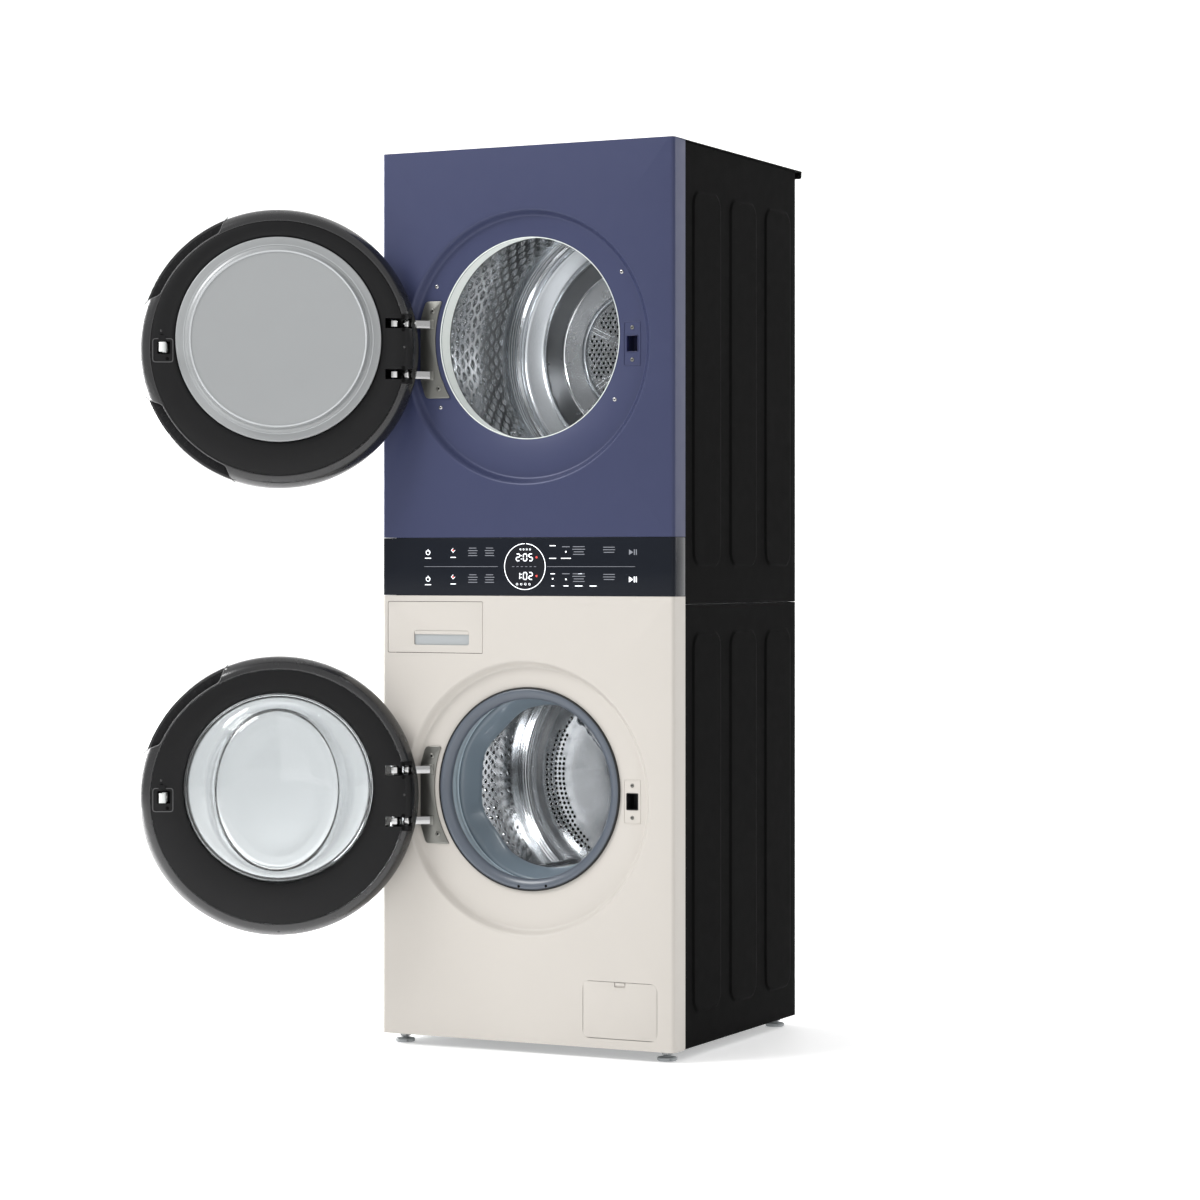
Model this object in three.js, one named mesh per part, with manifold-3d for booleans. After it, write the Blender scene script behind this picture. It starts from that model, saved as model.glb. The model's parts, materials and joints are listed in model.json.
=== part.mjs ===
// A stacked washer and dryer in one cabinet, standing with both round doors open.
// Millimetres, +Z up, the front faces -Y, and z = 0 is the underside of the base pan.
import * as THREE from "three";
import { mergeVertices } from "three/addons/utils/BufferGeometryUtils.js";
import Module from "manifold-3d";

const wasm = await Module();
wasm.setup();

// ---------- driving dimensions ----------
const WIDTH = 600; // across the side casings
const CASING_DEPTH = 560; // front plane to the back edge of the side casings
const WASHER_HEIGHT = 815; // washer front, from the base to the control fascia
const PANEL_HEIGHT = 106; // control fascia
const DRYER_HEIGHT = 715; // dryer front
const SPLIT_Z = 800; // where the lower and the upper side casings meet
const FOOT_HEIGHT = 19;
const FOOT_RADIUS = 18;
const FOOT_INSET = 30; // from the side casing to the foot's centre
const FOOT_SETBACK = 35; // from the front or back plane to the foot's centre
const STEM_RADIUS = 6;
const NUT = { radius: 11, low: -8, high: -2.5 }; // lock nut on the stem

const SHEET = 2; // side and back sheets
const LIP = 14; // folded edges of the side sheets
const FASCIA_WALL = 3;
const FASCIA_RETURN = 48; // how far the fronts wrap round onto the sides
const CORNER_RADIUS = 7;
const GAP = 0.3; // between pieces that touch
const SEAM = 0.6; // visible seam round a flush piece
const TOP_PLATE = 4;
const TOP_OVERHANG = 30; // top cover past the back edge of the casings
const TOP_LIP = 16; // rear lip of the top cover

const EMBOSS_WIDTH = 118; // long shallow pressings in the side casings
const EMBOSS_PITCH = 164;
const EMBOSS_DEPTH = 2.5;
const EMBOSS_CORNER = 15;
const EMBOSS_FROM_BACK = 250; // centre of the middle pressing from the back edge
const EMBOSS_MARGIN = { low: 62, high: 53, dryerLow: 71, dryerHigh: 88 };

const DISH_RADIUS = 253.5; // round recess that the door sits in
const DISH_DEPTH = 15;
const DISH_SLOPE = 17.5;
const WASHER_RING_Z = 445; // centre of the washer's dish
const DRYER_RING_RISE = 348.5; // centre of the dryer's dish above the control fascia
const MOUTH_RISE = 16.3; // the mouths sit this far above their dish's centre
const DRYER_MOUTH_RADIUS = 184;
const WASHER_MOUTH_RADIUS = 185.5;

const DOOR_RADIUS = 257.5;
const DOOR_PROUD = 60; // closed door in front of the front plane
const DOOR_INSET = 8; // closed door's inner face behind the front plane
const DOOR_OPEN_DEG = 150;
const PIVOT_OUT = 236; // hinge axis from the door's centre
const PIVOT_PROUD = 19; // hinge axis in front of the front plane
const PIN_RADIUS = 4;
const ARM_HEIGHT = 14;
const ARM_WIDTH = 9;
const ARM_SPACING = 94; // between the two arms of one hinge
const DRYER_GLASS_RADIUS = 188.5;
const WASHER_GLASS_RADIUS = 172;
const HOOK_OUT = 208; // door hook from the door's centre
const HOOK_HEIGHT = 18;
// Crescent plate of a hinge: half height, outer edge, its cropped ends, and where the arms are fixed.
const HINGE_PLATE = { half: 90, out: -226, cropped: 14, shoulder: 40, clear: 10, thick: 3, root: -205 };

const LATCH_HOLE = { width: 24, height: 31 };
const DRAWER = { left: 13, width: 199, top: 12, height: 94, travel: 200, tray: 198 };
const RECESS = { left: 55, width: 116, low: 14, height: 27, depth: 24 };
const COVER = { right: 34, width: 147.5, low: 18, height: 102, corner: 12, foot: 2 };

const DRYER_DRUM_RADIUS = 265;
const WASHER_DRUM_RADIUS = 243;
const TUB_RADIUS = 258;
const TUB_WALL = 6;
const DRUM_WALL = 3;
const DISPLAY_RADIUS = 44;
const PULLEY_RADIUS = 14;
const BELT_WIDTH = 8;
const ROUND = 28; // facets round a large circle

// ---------- derived places ----------
const SIDE = WIDTH / 2;
const FRONT = -CASING_DEPTH / 2;
const BACK = CASING_DEPTH / 2;
const PANEL_TOP = WASHER_HEIGHT + PANEL_HEIGHT;
const TOP = PANEL_TOP + DRYER_HEIGHT;
const DRYER_RING_Z = PANEL_TOP + DRYER_RING_RISE;
const DRYER_MOUTH_Z = DRYER_RING_Z + MOUTH_RISE;
const WASHER_MOUTH_Z = WASHER_RING_Z + MOUTH_RISE;
const DISH_FLOOR = FRONT + DISH_DEPTH;
const DISH_BACK = DISH_FLOOR + FASCIA_WALL;
const PIVOT_X = -PIVOT_OUT;
const PIVOT_Y = FRONT - PIVOT_PROUD;
const DOOR_FACE = FRONT + DOOR_INSET;

// ---------- shaping helpers ----------
// A closed three.js geometry as a manifold-3d solid, its faces turned outwards if need be.
function solid(geometry) {
  const bare = new THREE.BufferGeometry();
  bare.setAttribute("position", geometry.getAttribute("position"));
  if (geometry.index) bare.setIndex(geometry.index);
  const merged = mergeVertices(bare, 1e-3);
  const p = merged.attributes.position.array;
  const index = merged.index.array;
  const kept = [];
  let volume = 0;
  for (let i = 0; i < index.length; i += 3) {
    const [a, b, c] = [index[i], index[i + 1], index[i + 2]];
    if (a === b || b === c || c === a) continue;
    kept.push(a, b, c);
    const u = new THREE.Vector3().fromArray(p, 3 * a);
    const v = new THREE.Vector3().fromArray(p, 3 * b);
    const w = new THREE.Vector3().fromArray(p, 3 * c);
    volume += u.dot(v.cross(w));
  }
  if (volume < 0) kept.reverse();
  const mesh = new wasm.Mesh({ numProp: 3, vertProperties: p, triVerts: new Uint32Array(kept) });
  return new wasm.Manifold(mesh);
}

function join(...solids) {
  return solids.reduce((all, next) => all.add(next));
}

function cut(body, ...tools) {
  return tools.reduce((left, tool) => left.subtract(tool), body);
}

// A box between two corners.
function block(x0, x1, y0, y1, z0, z1) {
  const box = new THREE.BoxGeometry(x1 - x0, y1 - y0, z1 - z0);
  box.translate((x0 + x1) / 2, (y0 + y1) / 2, (z0 + z1) / 2);
  return solid(box);
}

// A profile of [radius, y] points turned about an axis along Y through (x, z).
// It starts and ends on the axis, or else it is closed into a ring.
function turned(profile, x, z, sides = ROUND) {
  const points = profile.map(([r, y]) => new THREE.Vector2(r, y));
  if (profile[0][0] > 0) points.push(points[0].clone());
  const lathe = new THREE.LatheGeometry(points, sides);
  lathe.translate(x, 0, z);
  return solid(lathe);
}

function rodY(radius, y0, y1, x, z, sides = 20) {
  return turned([[0, y0], [radius, y0], [radius, y1], [0, y1]], x, z, sides);
}

// An upright cylinder, or a turned profile of [radius, z] points, about a vertical axis.
function upright(profile, x, y, sides = 20) {
  const points = profile.map(([r, z]) => new THREE.Vector2(r, z));
  if (profile[0][0] > 0) points.push(points[0].clone());
  const lathe = new THREE.LatheGeometry(points, sides);
  lathe.rotateX(Math.PI / 2);
  lathe.translate(x, y, 0);
  return solid(lathe);
}

function rodZ(radius, z0, z1, x, y, sides = 24) {
  return upright([[0, z0], [radius, z0], [radius, z1], [0, z1]], x, y, sides);
}

function extruded(shape, depth, curveSegments) {
  return new THREE.ExtrudeGeometry(shape, { depth, curveSegments, bevelEnabled: false });
}

// An outline drawn in X and Z, from y0 to y1.
function slabXZ(shape, y0, y1, curveSegments = 6) {
  const slab = extruded(shape, y1 - y0, curveSegments);
  slab.rotateX(Math.PI / 2);
  slab.translate(0, y1, 0);
  return solid(slab);
}

// An outline drawn in Y and Z, from x0 to x1.
function slabYZ(shape, x0, x1, curveSegments = 4) {
  const slab = extruded(shape, x1 - x0, curveSegments);
  const turn = new THREE.Matrix4().makeBasis(
    new THREE.Vector3(0, 1, 0),
    new THREE.Vector3(0, 0, 1),
    new THREE.Vector3(1, 0, 0),
  );
  slab.applyMatrix4(turn);
  slab.translate(x0, 0, 0);
  return solid(slab);
}

// An outline drawn in X and Y, from z0 to z1.
function slabXY(shape, z0, z1, curveSegments = 4) {
  const slab = extruded(shape, z1 - z0, curveSegments);
  slab.translate(0, 0, z0);
  return solid(slab);
}

// A rectangle with its upper corners rounded to r and its lower ones to foot.
function roundedRect(x0, x1, y0, y1, r, foot = r) {
  const s = new THREE.Shape();
  s.moveTo(x0 + foot, y0);
  s.lineTo(x1 - foot, y0);
  s.absarc(x1 - foot, y0 + foot, foot, -Math.PI / 2, 0);
  s.lineTo(x1, y1 - r);
  s.absarc(x1 - r, y1 - r, r, 0, Math.PI / 2);
  s.lineTo(x0 + r, y1);
  s.absarc(x0 + r, y1 - r, r, Math.PI / 2, Math.PI);
  s.lineTo(x0, y0 + foot);
  s.absarc(x0 + foot, y0 + foot, foot, Math.PI, 1.5 * Math.PI);
  return s;
}

function ringSector(cx, cz, inner, outer, from, to) {
  const s = new THREE.Shape();
  s.absarc(cx, cz, outer, from, to, false);
  s.absarc(cx, cz, inner, to, from, true);
  s.closePath();
  return s;
}

function finish(color, roughness, metalness) {
  return new THREE.MeshStandardMaterial({ color, roughness, metalness });
}

function place(parent, name, body, material) {
  const mesh = body.getMesh();
  const n = mesh.numProp;
  const position = new Float32Array(mesh.numVert * 3);
  for (let i = 0; i < mesh.numVert; i++) {
    position.set(mesh.vertProperties.subarray(i * n, i * n + 3), i * 3);
  }
  const geometry = new THREE.BufferGeometry();
  geometry.setAttribute("position", new THREE.BufferAttribute(position, 3));
  geometry.setIndex(new THREE.BufferAttribute(mesh.triVerts, 1));
  geometry.computeVertexNormals();
  const made = new THREE.Mesh(geometry, material);
  made.name = name;
  parent.add(made);
}

// ---------- finishes ----------
const BLUE_PAINT = finish(0x4a5078, 0.55, 0.1);
const BEIGE_PAINT = finish(0xd8d0c5, 0.55, 0.0);
const BLACK_PAINT = finish(0x121212, 0.45, 0.2);
const FASCIA_BLACK = finish(0x1b1f26, 0.25, 0.0);
const DARK_PLASTIC = finish(0x26272a, 0.6, 0.0);
const GLOSS_PLASTIC = finish(0x3a3b40, 0.2, 0.1);
const SMOKED_GLASS = finish(0x15161a, 0.08, 0.0);
const CLEAR_GLASS = finish(0xc9cfd2, 0.1, 0.0);
const STAINLESS = finish(0xb9bcbe, 0.25, 1.0);
const ZINC = finish(0x9a9a92, 0.4, 0.9);
const GREY_RUBBER = finish(0x6f7d8c, 0.7, 0.0);
const GREY_PLASTIC = finish(0xa9adb0, 0.6, 0.0);
const CAST_GREY = finish(0x5a5a5a, 0.8, 0.2);
const COPPER = finish(0xb5713c, 0.4, 0.8);
const BOARD_GREEN = finish(0x1e4d33, 0.6, 0.0);
const BLACK_RUBBER = finish(0x1a1a1a, 0.9, 0.0);

const stack = new THREE.Group();

// ---------- cabinet fronts ----------
// A front sheet that wraps round both corners, seen from above.
function wrapOutline() {
  const r = CORNER_RADIUS;
  const inner = r - FASCIA_WALL;
  const end = FRONT + FASCIA_RETURN;
  const s = new THREE.Shape();
  s.moveTo(-SIDE, end);
  s.lineTo(-SIDE, FRONT + r);
  s.absarc(-SIDE + r, FRONT + r, r, Math.PI, 1.5 * Math.PI);
  s.lineTo(SIDE - r, FRONT);
  s.absarc(SIDE - r, FRONT + r, r, 1.5 * Math.PI, 2 * Math.PI);
  s.lineTo(SIDE, end);
  s.lineTo(SIDE - FASCIA_WALL, end);
  s.absarc(SIDE - r, FRONT + r, inner, 0, -Math.PI / 2, true);
  s.lineTo(-SIDE + r, FRONT + FASCIA_WALL);
  s.absarc(-SIDE + r, FRONT + r, inner, 1.5 * Math.PI, Math.PI, true);
  s.lineTo(-SIDE + FASCIA_WALL, end);
  return s;
}

// A front with its round dish, the mouth through it and the hole for the door's hook.
function dishedFront(z0, z1, ringZ, mouthZ, mouthRadius) {
  const floorRadius = DISH_RADIUS - DISH_SLOPE;
  const wall = FASCIA_WALL;
  const shell = turned([
    [0, FRONT + 0.5],
    [DISH_RADIUS + wall, FRONT + 0.5],
    [DISH_RADIUS + wall, FRONT + wall],
    [floorRadius + wall, DISH_BACK],
    [0, DISH_BACK],
  ], 0, ringZ, ROUND);
  const hollow = turned([
    [0, FRONT - 1],
    [DISH_RADIUS + DISH_SLOPE / DISH_DEPTH, FRONT - 1],
    [floorRadius, DISH_FLOOR],
    [0, DISH_FLOOR],
  ], 0, ringZ, ROUND);
  const mouth = rodY(mouthRadius, FRONT - 1, DISH_BACK + 1, 0, mouthZ, ROUND);
  const half = { x: LATCH_HOLE.width / 2, z: LATCH_HOLE.height / 2 };
  const hook = block(
    HOOK_OUT + 2 - half.x, HOOK_OUT + 2 + half.x,
    FRONT - 1, DISH_BACK + 1, ringZ - half.z, ringZ + half.z,
  );
  return cut(join(slabXY(wrapOutline(), z0, z1), shell), hollow, mouth, hook);
}

const drawer = {
  x0: -SIDE + DRAWER.left,
  x1: -SIDE + DRAWER.left + DRAWER.width,
  z0: WASHER_HEIGHT - DRAWER.top - DRAWER.height,
  z1: WASHER_HEIGHT - DRAWER.top,
};
const cover = {
  x0: SIDE - COVER.right - COVER.width,
  x1: SIDE - COVER.right,
  z0: COVER.low,
  z1: COVER.low + COVER.height,
};

function washerFront() {
  const front = dishedFront(
    0, WASHER_HEIGHT - GAP, WASHER_RING_Z, WASHER_MOUTH_Z, WASHER_MOUTH_RADIUS,
  );
  const drawerHole = block(
    drawer.x0 - SEAM, drawer.x1 + SEAM, FRONT - 1, FRONT + 8, drawer.z0 - SEAM, drawer.z1 + SEAM,
  );
  const coverHole = slabXZ(
    roundedRect(
      cover.x0 - SEAM, cover.x1 + SEAM, cover.z0 - 2 * SEAM, cover.z1 + SEAM, COVER.corner, COVER.foot,
    ),
    FRONT - 1, FRONT + 8, 4,
  );
  return cut(front, drawerHole, coverHole);
}

function dryerFront() {
  const front = dishedFront(
    PANEL_TOP + GAP, TOP, DRYER_RING_Z, DRYER_MOUTH_Z, DRYER_MOUTH_RADIUS,
  );
  const topFold = block(
    -SIDE + FASCIA_WALL, SIDE - FASCIA_WALL, FRONT + 1, FRONT + 18, TOP - FASCIA_WALL, TOP,
  );
  return join(front, topFold);
}

function controlFascia() {
  const sheet = slabXY(wrapOutline(), WASHER_HEIGHT, PANEL_TOP);
  const window = rodY(
    DISPLAY_RADIUS + GAP, FRONT - 1, FRONT + 8, 0, WASHER_HEIGHT + PANEL_HEIGHT / 2, 32,
  );
  return cut(sheet, window);
}

function displayLens() {
  const z = WASHER_HEIGHT + PANEL_HEIGHT / 2;
  return rodY(DISPLAY_RADIUS, FRONT, FRONT + FASCIA_WALL, 0, z, 32);
}

// The board behind the fascia, on two rails that reach its back.
function controlBoard() {
  const z = WASHER_HEIGHT + PANEL_HEIGHT / 2;
  const back = FRONT + FASCIA_WALL + GAP;
  const length = WIDTH - 160;
  const board = block(-length / 2, length / 2, back + 10, back + 13, z - 40, z + 40);
  const rails = [-1, 1].map((s) =>
    block(s * (length / 2 - 8) - 6, s * (length / 2 - 8) + 6, back, back + 11, z - 36, z + 36));
  const chips = [-120, 40, 130].map((x) => block(x, x + 34, back + 12, back + 20, z - 16, z + 14));
  return join(board, ...rails, ...chips);
}

// ---------- side casings, backs, base, shelf and top ----------
function sideCasing(side, z0, z1, embossLow, embossHigh) {
  const outer = side * SIDE;
  const inner = side * (SIDE - SHEET);
  const lip = side * (SIDE - LIP);
  const y0 = FRONT + FASCIA_RETURN + GAP;
  const span = (a, b) => [Math.min(a, b), Math.max(a, b)];
  let casing = join(
    block(...span(outer, inner), y0, BACK, z0, z1),
    block(...span(outer, lip), BACK - SHEET, BACK, z0 + 26, z1 - 14),
    block(...span(outer, lip), y0, y0 + SHEET, z0 + 26, z1 - 14),
  );
  for (const step of [-1, 0, 1]) {
    const y = BACK - EMBOSS_FROM_BACK + step * EMBOSS_PITCH;
    const half = EMBOSS_WIDTH / 2;
    const pad = roundedRect(y - half - 3, y + half + 3, embossLow - 3, embossHigh + 3, EMBOSS_CORNER);
    const press = roundedRect(y - half, y + half, embossLow, embossHigh, EMBOSS_CORNER);
    const deep = side * (SIDE - EMBOSS_DEPTH);
    const behind = side * (SIDE - EMBOSS_DEPTH - SHEET);
    casing = join(casing, slabYZ(pad, ...span(inner, behind), 1));
    casing = cut(casing, slabYZ(press, ...span(outer + side, deep), 1));
  }
  return casing;
}

// A back sheet with a hollow raised cover; holes are [radius, x, z] through it.
function backPanel(z0, z1, raised, holes) {
  const sheet = block(-SIDE + 6, SIDE - 6, BACK + GAP, BACK + GAP + SHEET, z0, z1);
  const deep = BACK + TOP_OVERHANG - 6;
  const tray = block(-205, 205, BACK + GAP, deep, raised.z0, raised.z1);
  const hollow = block(
    -205 + SHEET, 205 - SHEET, BACK - 1, deep - SHEET, raised.z0 + SHEET, raised.z1 - SHEET,
  );
  const drills = holes.map(([r, x, z]) => rodY(r, BACK - 1, deep + 1, x, z, 16));
  return cut(join(sheet, tray), hollow, ...drills);
}

const VALVE = { x: [200, 235], z: WASHER_HEIGHT - 85, spigot: 10 };

function dryerBack() {
  const bore = PIN_RADIUS * 3 + GAP;
  const panel = backPanel(
    SPLIT_Z + GAP, TOP - TOP_LIP - GAP - 1, { z0: DRYER_MOUTH_Z - 275, z1: DRYER_MOUTH_Z + 275 }, [],
  );
  const deep = BACK + TOP_OVERHANG - 6;
  const hub = turned(
    [[bore, BACK - 40], [bore + 16, BACK - 40], [bore + 16, deep - 1], [bore, deep - 1]],
    0, DRYER_MOUTH_Z, 24,
  );
  return join(panel, hub);
}

function washerBack() {
  const holes = VALVE.x.map((x) => [VALVE.spigot + SEAM, x, VALVE.z]);
  return backPanel(0, SPLIT_Z, { z0: WASHER_MOUTH_Z - 210, z1: WASHER_MOUTH_Z + 180 }, holes);
}

function basePan() {
  const x = SIDE - 6;
  const y0 = FRONT + 10;
  const y1 = BACK - 8;
  const rim = 22;
  const pan = cut(
    block(-x, x, y0, y1, 0, rim),
    block(-x + SHEET, x - SHEET, y0 + SHEET, y1 - SHEET, SHEET, rim + 1),
  );
  const bosses = footPlaces().map(([fx, fy]) => rodZ(STEM_RADIUS + 8, 0, 12, fx, fy, 10));
  const bores = footPlaces().map(([fx, fy]) => rodZ(STEM_RADIUS + GAP, -1, 13, fx, fy, 10));
  return cut(join(pan, ...bosses), ...bores);
}

function footPlaces() {
  const x = SIDE - FOOT_INSET;
  const y = BACK - FOOT_SETBACK;
  return [[-x, -y], [x, -y], [-x, y], [x, y]];
}

// A round pad, a threaded stem up into the base pan and its lock nut.
function foot(x, y) {
  const h = FOOT_HEIGHT;
  return upright([
    [0, -h],
    [FOOT_RADIUS - 1, -h],
    [FOOT_RADIUS, -h + 2],
    [FOOT_RADIUS, -h + 6],
    [STEM_RADIUS + 2, -h + 8],
    [STEM_RADIUS, -h + 9],
    [STEM_RADIUS, NUT.low],
    [NUT.radius, NUT.low],
    [NUT.radius, NUT.high],
    [STEM_RADIUS, NUT.high],
    [STEM_RADIUS, 18],
    [0, 18],
  ], x, y, 10);
}

function dividerShelf() {
  const x = SIDE - 8;
  const y0 = FRONT + 24;
  const y1 = BACK - 8;
  const plate = block(-x, x, y0, y1, SPLIT_Z + 1, SPLIT_Z + 4);
  const beams = [-1, 1].map((s) => {
    const mid = s * (x - 20);
    return block(mid - 12, mid + 12, y0, y1, SPLIT_Z - 8, SPLIT_Z + 2);
  });
  return join(plate, ...beams);
}

function topCover() {
  const y0 = FRONT + 18 + GAP;
  const y1 = BACK + TOP_OVERHANG;
  const inner = SIDE - FASCIA_WALL - GAP;
  const behind = FRONT + FASCIA_RETURN + GAP;
  const plate = join(
    block(-inner, inner, y0, behind + 1, TOP - TOP_PLATE, TOP),
    block(-SIDE, SIDE, behind, y1, TOP - TOP_PLATE, TOP),
  );
  const lip = block(-SIDE, SIDE, y1 - SHEET, y1, TOP - TOP_LIP, TOP - 1);
  return join(plate, lip);
}

// ---------- door hinges and latches on the cabinet ----------
// A crescent plate on the dish floor beside the mouth, with two arms out to the hinge axis.
function hingeBracket(ringZ, mouthZ, mouthRadius) {
  const { half, out, cropped } = HINGE_PLATE;
  const r = mouthRadius + HINGE_PLATE.clear;
  const rise = mouthZ - ringZ;
  const edge = (z) => -Math.sqrt(r * r - (z - rise) ** 2);
  const s = new THREE.Shape();
  s.moveTo(out + cropped, -half);
  const steps = 10;
  for (let i = 0; i <= steps; i++) {
    const z = -half + (2 * half * i) / steps;
    s.lineTo(edge(z), z);
  }
  s.lineTo(out + cropped, half);
  s.lineTo(out, half - HINGE_PLATE.shoulder);
  s.lineTo(out, -half + HINGE_PLATE.shoulder);
  s.closePath();
  let bracket = slabXZ(s, DISH_FLOOR - HINGE_PLATE.thick - GAP, DISH_FLOOR - GAP);
  bracket = bracket.translate([0, 0, ringZ]);
  const root = { x: HINGE_PLATE.root, y: DISH_FLOOR - 2 };
  const along = Math.atan2(root.y - PIVOT_Y, root.x - PIVOT_X);
  const nx = (-Math.sin(along) * ARM_WIDTH) / 2;
  const ny = (Math.cos(along) * ARM_WIDTH) / 2;
  const bar = new THREE.Shape();
  bar.moveTo(PIVOT_X + nx, PIVOT_Y + ny);
  bar.lineTo(PIVOT_X - nx, PIVOT_Y - ny);
  bar.lineTo(root.x - nx, root.y - ny);
  bar.lineTo(root.x + 4, root.y);
  bar.lineTo(root.x + nx, root.y);
  bar.closePath();
  const eye = new THREE.Shape();
  eye.absarc(PIVOT_X, PIVOT_Y, PIN_RADIUS + 5, 0, 2 * Math.PI);
  for (const side of [-1, 1]) {
    const z = ringZ + (side * ARM_SPACING) / 2;
    const z0 = z - ARM_HEIGHT / 2;
    const z1 = z + ARM_HEIGHT / 2;
    const bore = rodZ(PIN_RADIUS + 0.4, z0 - 1, z1 + 1, PIVOT_X, PIVOT_Y, 16);
    bracket = join(bracket, slabXY(bar, z0, z1), cut(slabXY(eye, z0, z1, 8), bore));
    bracket = cut(bracket, bore);
  }
  return bracket;
}

// The striker box behind the hook's hole.
function latch(ringZ) {
  const x = HOOK_OUT + 2;
  const y0 = DISH_BACK + GAP;
  const body = block(x - 16, x + 22, y0, y0 + 33, ringZ - 34, ringZ + 34);
  const half = { x: LATCH_HOLE.width / 2, z: LATCH_HOLE.height / 2 };
  const socket = block(x - half.x, x + half.x, y0 - 1, y0 + 28, ringZ - half.z, ringZ + half.z);
  return cut(body, socket);
}

// ---------- doors, modelled closed about their own ring centre ----------
// Door sections are [radius, depth in front of the front plane].
const proud = (section) => section.map(([r, d]) => [r, FRONT - d]);
const FRAME_RADIUS = PIVOT_OUT - 2.3;
const BLOCK_HALF = 64;
const SLOT_HEIGHT = ARM_HEIGHT + 4;

function hingeSlots(ringZ) {
  return [-1, 1].map((side) => {
    const z = ringZ + (side * ARM_SPACING) / 2;
    return block(
      PIVOT_X - 26, PIVOT_X + 42, PIVOT_Y - 14, DOOR_FACE + 1, z - SLOT_HEIGHT / 2, z + SLOT_HEIGHT / 2,
    );
  });
}

// Outer curve of a door's edge, as [inset from the door's radius, depth].
const EDGE = [
  [21.5, -7],
  [11.5, -1],
  [4.5, 7],
  [0.5, 16],
  [0, 21],
  [1.5, 27],
  [7.5, 32.5],
  [19.5, 37],
  [37.5, 45],
];
const edge = (shrink) => EDGE.map(([inset, d]) => [DOOR_RADIUS - inset - shrink, d]);

// The block round the hinge pin; grow makes the notch that it fits.
function hingeBlock(ringZ, grow) {
  return block(
    PIVOT_X - 9 - grow, PIVOT_X + 45 + grow, FRONT - 30 - grow, DOOR_FACE - 1 + 3 * grow,
    ringZ - BLOCK_HALF - grow, ringZ + BLOCK_HALF + grow,
  );
}

// The glossy outer ring. Grips are [from, to] in degrees on the free side.
function doorRim(ringZ, grips) {
  const r = DOOR_RADIUS;
  let rim = turned(proud([
    [FRAME_RADIUS + 0.5, -7],
    ...edge(0),
    [r - 40.5, 41],
    [FRAME_RADIUS + 0.5, 26],
  ]), 0, ringZ);
  rim = cut(rim, hingeBlock(ringZ, 0.5));
  for (const [from, to] of grips) {
    const a = THREE.MathUtils.degToRad(from);
    const b = THREE.MathUtils.degToRad(to);
    const pocket = slabXZ(ringSector(0, ringZ, r - 19.5, r - 7.5, a, b), FRONT - 13, FRONT + 10, 6);
    rim = cut(rim, pocket);
  }
  return cut(rim, ...hingeSlots(ringZ));
}

// The inner frame: a flat ring with a collar round the glass, the hinge block and hook bay.
function doorFrame(ringZ, glassRadius) {
  const hole = glassRadius + 0.6;
  const glassZ = ringZ + MOUTH_RISE;
  const plate = rodY(FRAME_RADIUS, DOOR_FACE - 4, DOOR_FACE, 0, ringZ, ROUND);
  const collar = rodY(hole + 4, FRONT - 26, DOOR_FACE - 1, 0, glassZ, ROUND);
  const bay = block(HOOK_OUT - 14, HOOK_OUT + 15, FRONT - 24, DOOR_FACE - 1, ringZ - 16, ringZ + 16);
  const within = turned(proud([[0, -7], ...edge(1), [0, 45]]), 0, ringZ);
  const hingeBody = hingeBlock(ringZ, 0).intersect(within);
  const body = cut(
    join(plate, collar, hingeBody, bay),
    rodY(hole, FRONT - 40, DOOR_FACE + 1, 0, glassZ, ROUND),
    block(HOOK_OUT - 11, HOOK_OUT + 13, FRONT - 21, DOOR_FACE + 1, ringZ - 12, ringZ + 12),
    ...hingeSlots(ringZ),
  );
  const pin = rodZ(PIN_RADIUS, ringZ - BLOCK_HALF + 4, ringZ + BLOCK_HALF - 4, PIVOT_X, PIVOT_Y, 12);
  return join(body, pin);
}

function doorCover(ringZ) {
  const r = DOOR_RADIUS - 41.5;
  return turned(proud([
    [0, DOOR_PROUD],
    [100, DOOR_PROUD],
    [160, DOOR_PROUD - 1.5],
    [196, DOOR_PROUD - 6.5],
    [r, DOOR_PROUD - 13],
    [r - 3, DOOR_PROUD - 16.5],
    [195, DOOR_PROUD - 10.5],
    [160, DOOR_PROUD - 5.5],
    [0, DOOR_PROUD - 4],
  ]), 0, ringZ);
}

// A shallow stepped disc that closes the dryer's mouth.
function dryerGlass(ringZ) {
  const r = DRYER_GLASS_RADIUS;
  return turned(proud([
    [0, -25],
    [160, -25],
    [164, -22],
    [168, -12],
    [174, -9],
    [r - 2, -9],
    [r, -7],
    [r, 10],
    [r - 4, 10],
    [r - 4, -4],
    [166, -6],
    [160, -20],
    [0, -20],
  ]), 0, ringZ + MOUTH_RISE);
}

// Rings of [half-width, half-height, depth behind the front plane], joined into one shell.
function bowl(rings, z, sides = ROUND) {
  const p = [];
  const index = [];
  for (const [a, b, d] of rings) {
    for (let i = 0; i < sides; i++) {
      const t = (2 * Math.PI * i) / sides;
      p.push(a * Math.sin(t), FRONT + d, z + b * Math.cos(t));
    }
  }
  for (let k = 0; k + 1 < rings.length; k++) {
    for (let i = 0; i < sides; i++) {
      const j = (i + 1) % sides;
      const [a, b, c, d] = [k * sides + i, k * sides + j, (k + 1) * sides + i, (k + 1) * sides + j];
      index.push(a, c, b, b, c, d);
    }
  }
  const geometry = new THREE.BufferGeometry();
  geometry.setAttribute("position", new THREE.Float32BufferAttribute(p, 3));
  geometry.setIndex(index);
  return solid(geometry);
}

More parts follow.
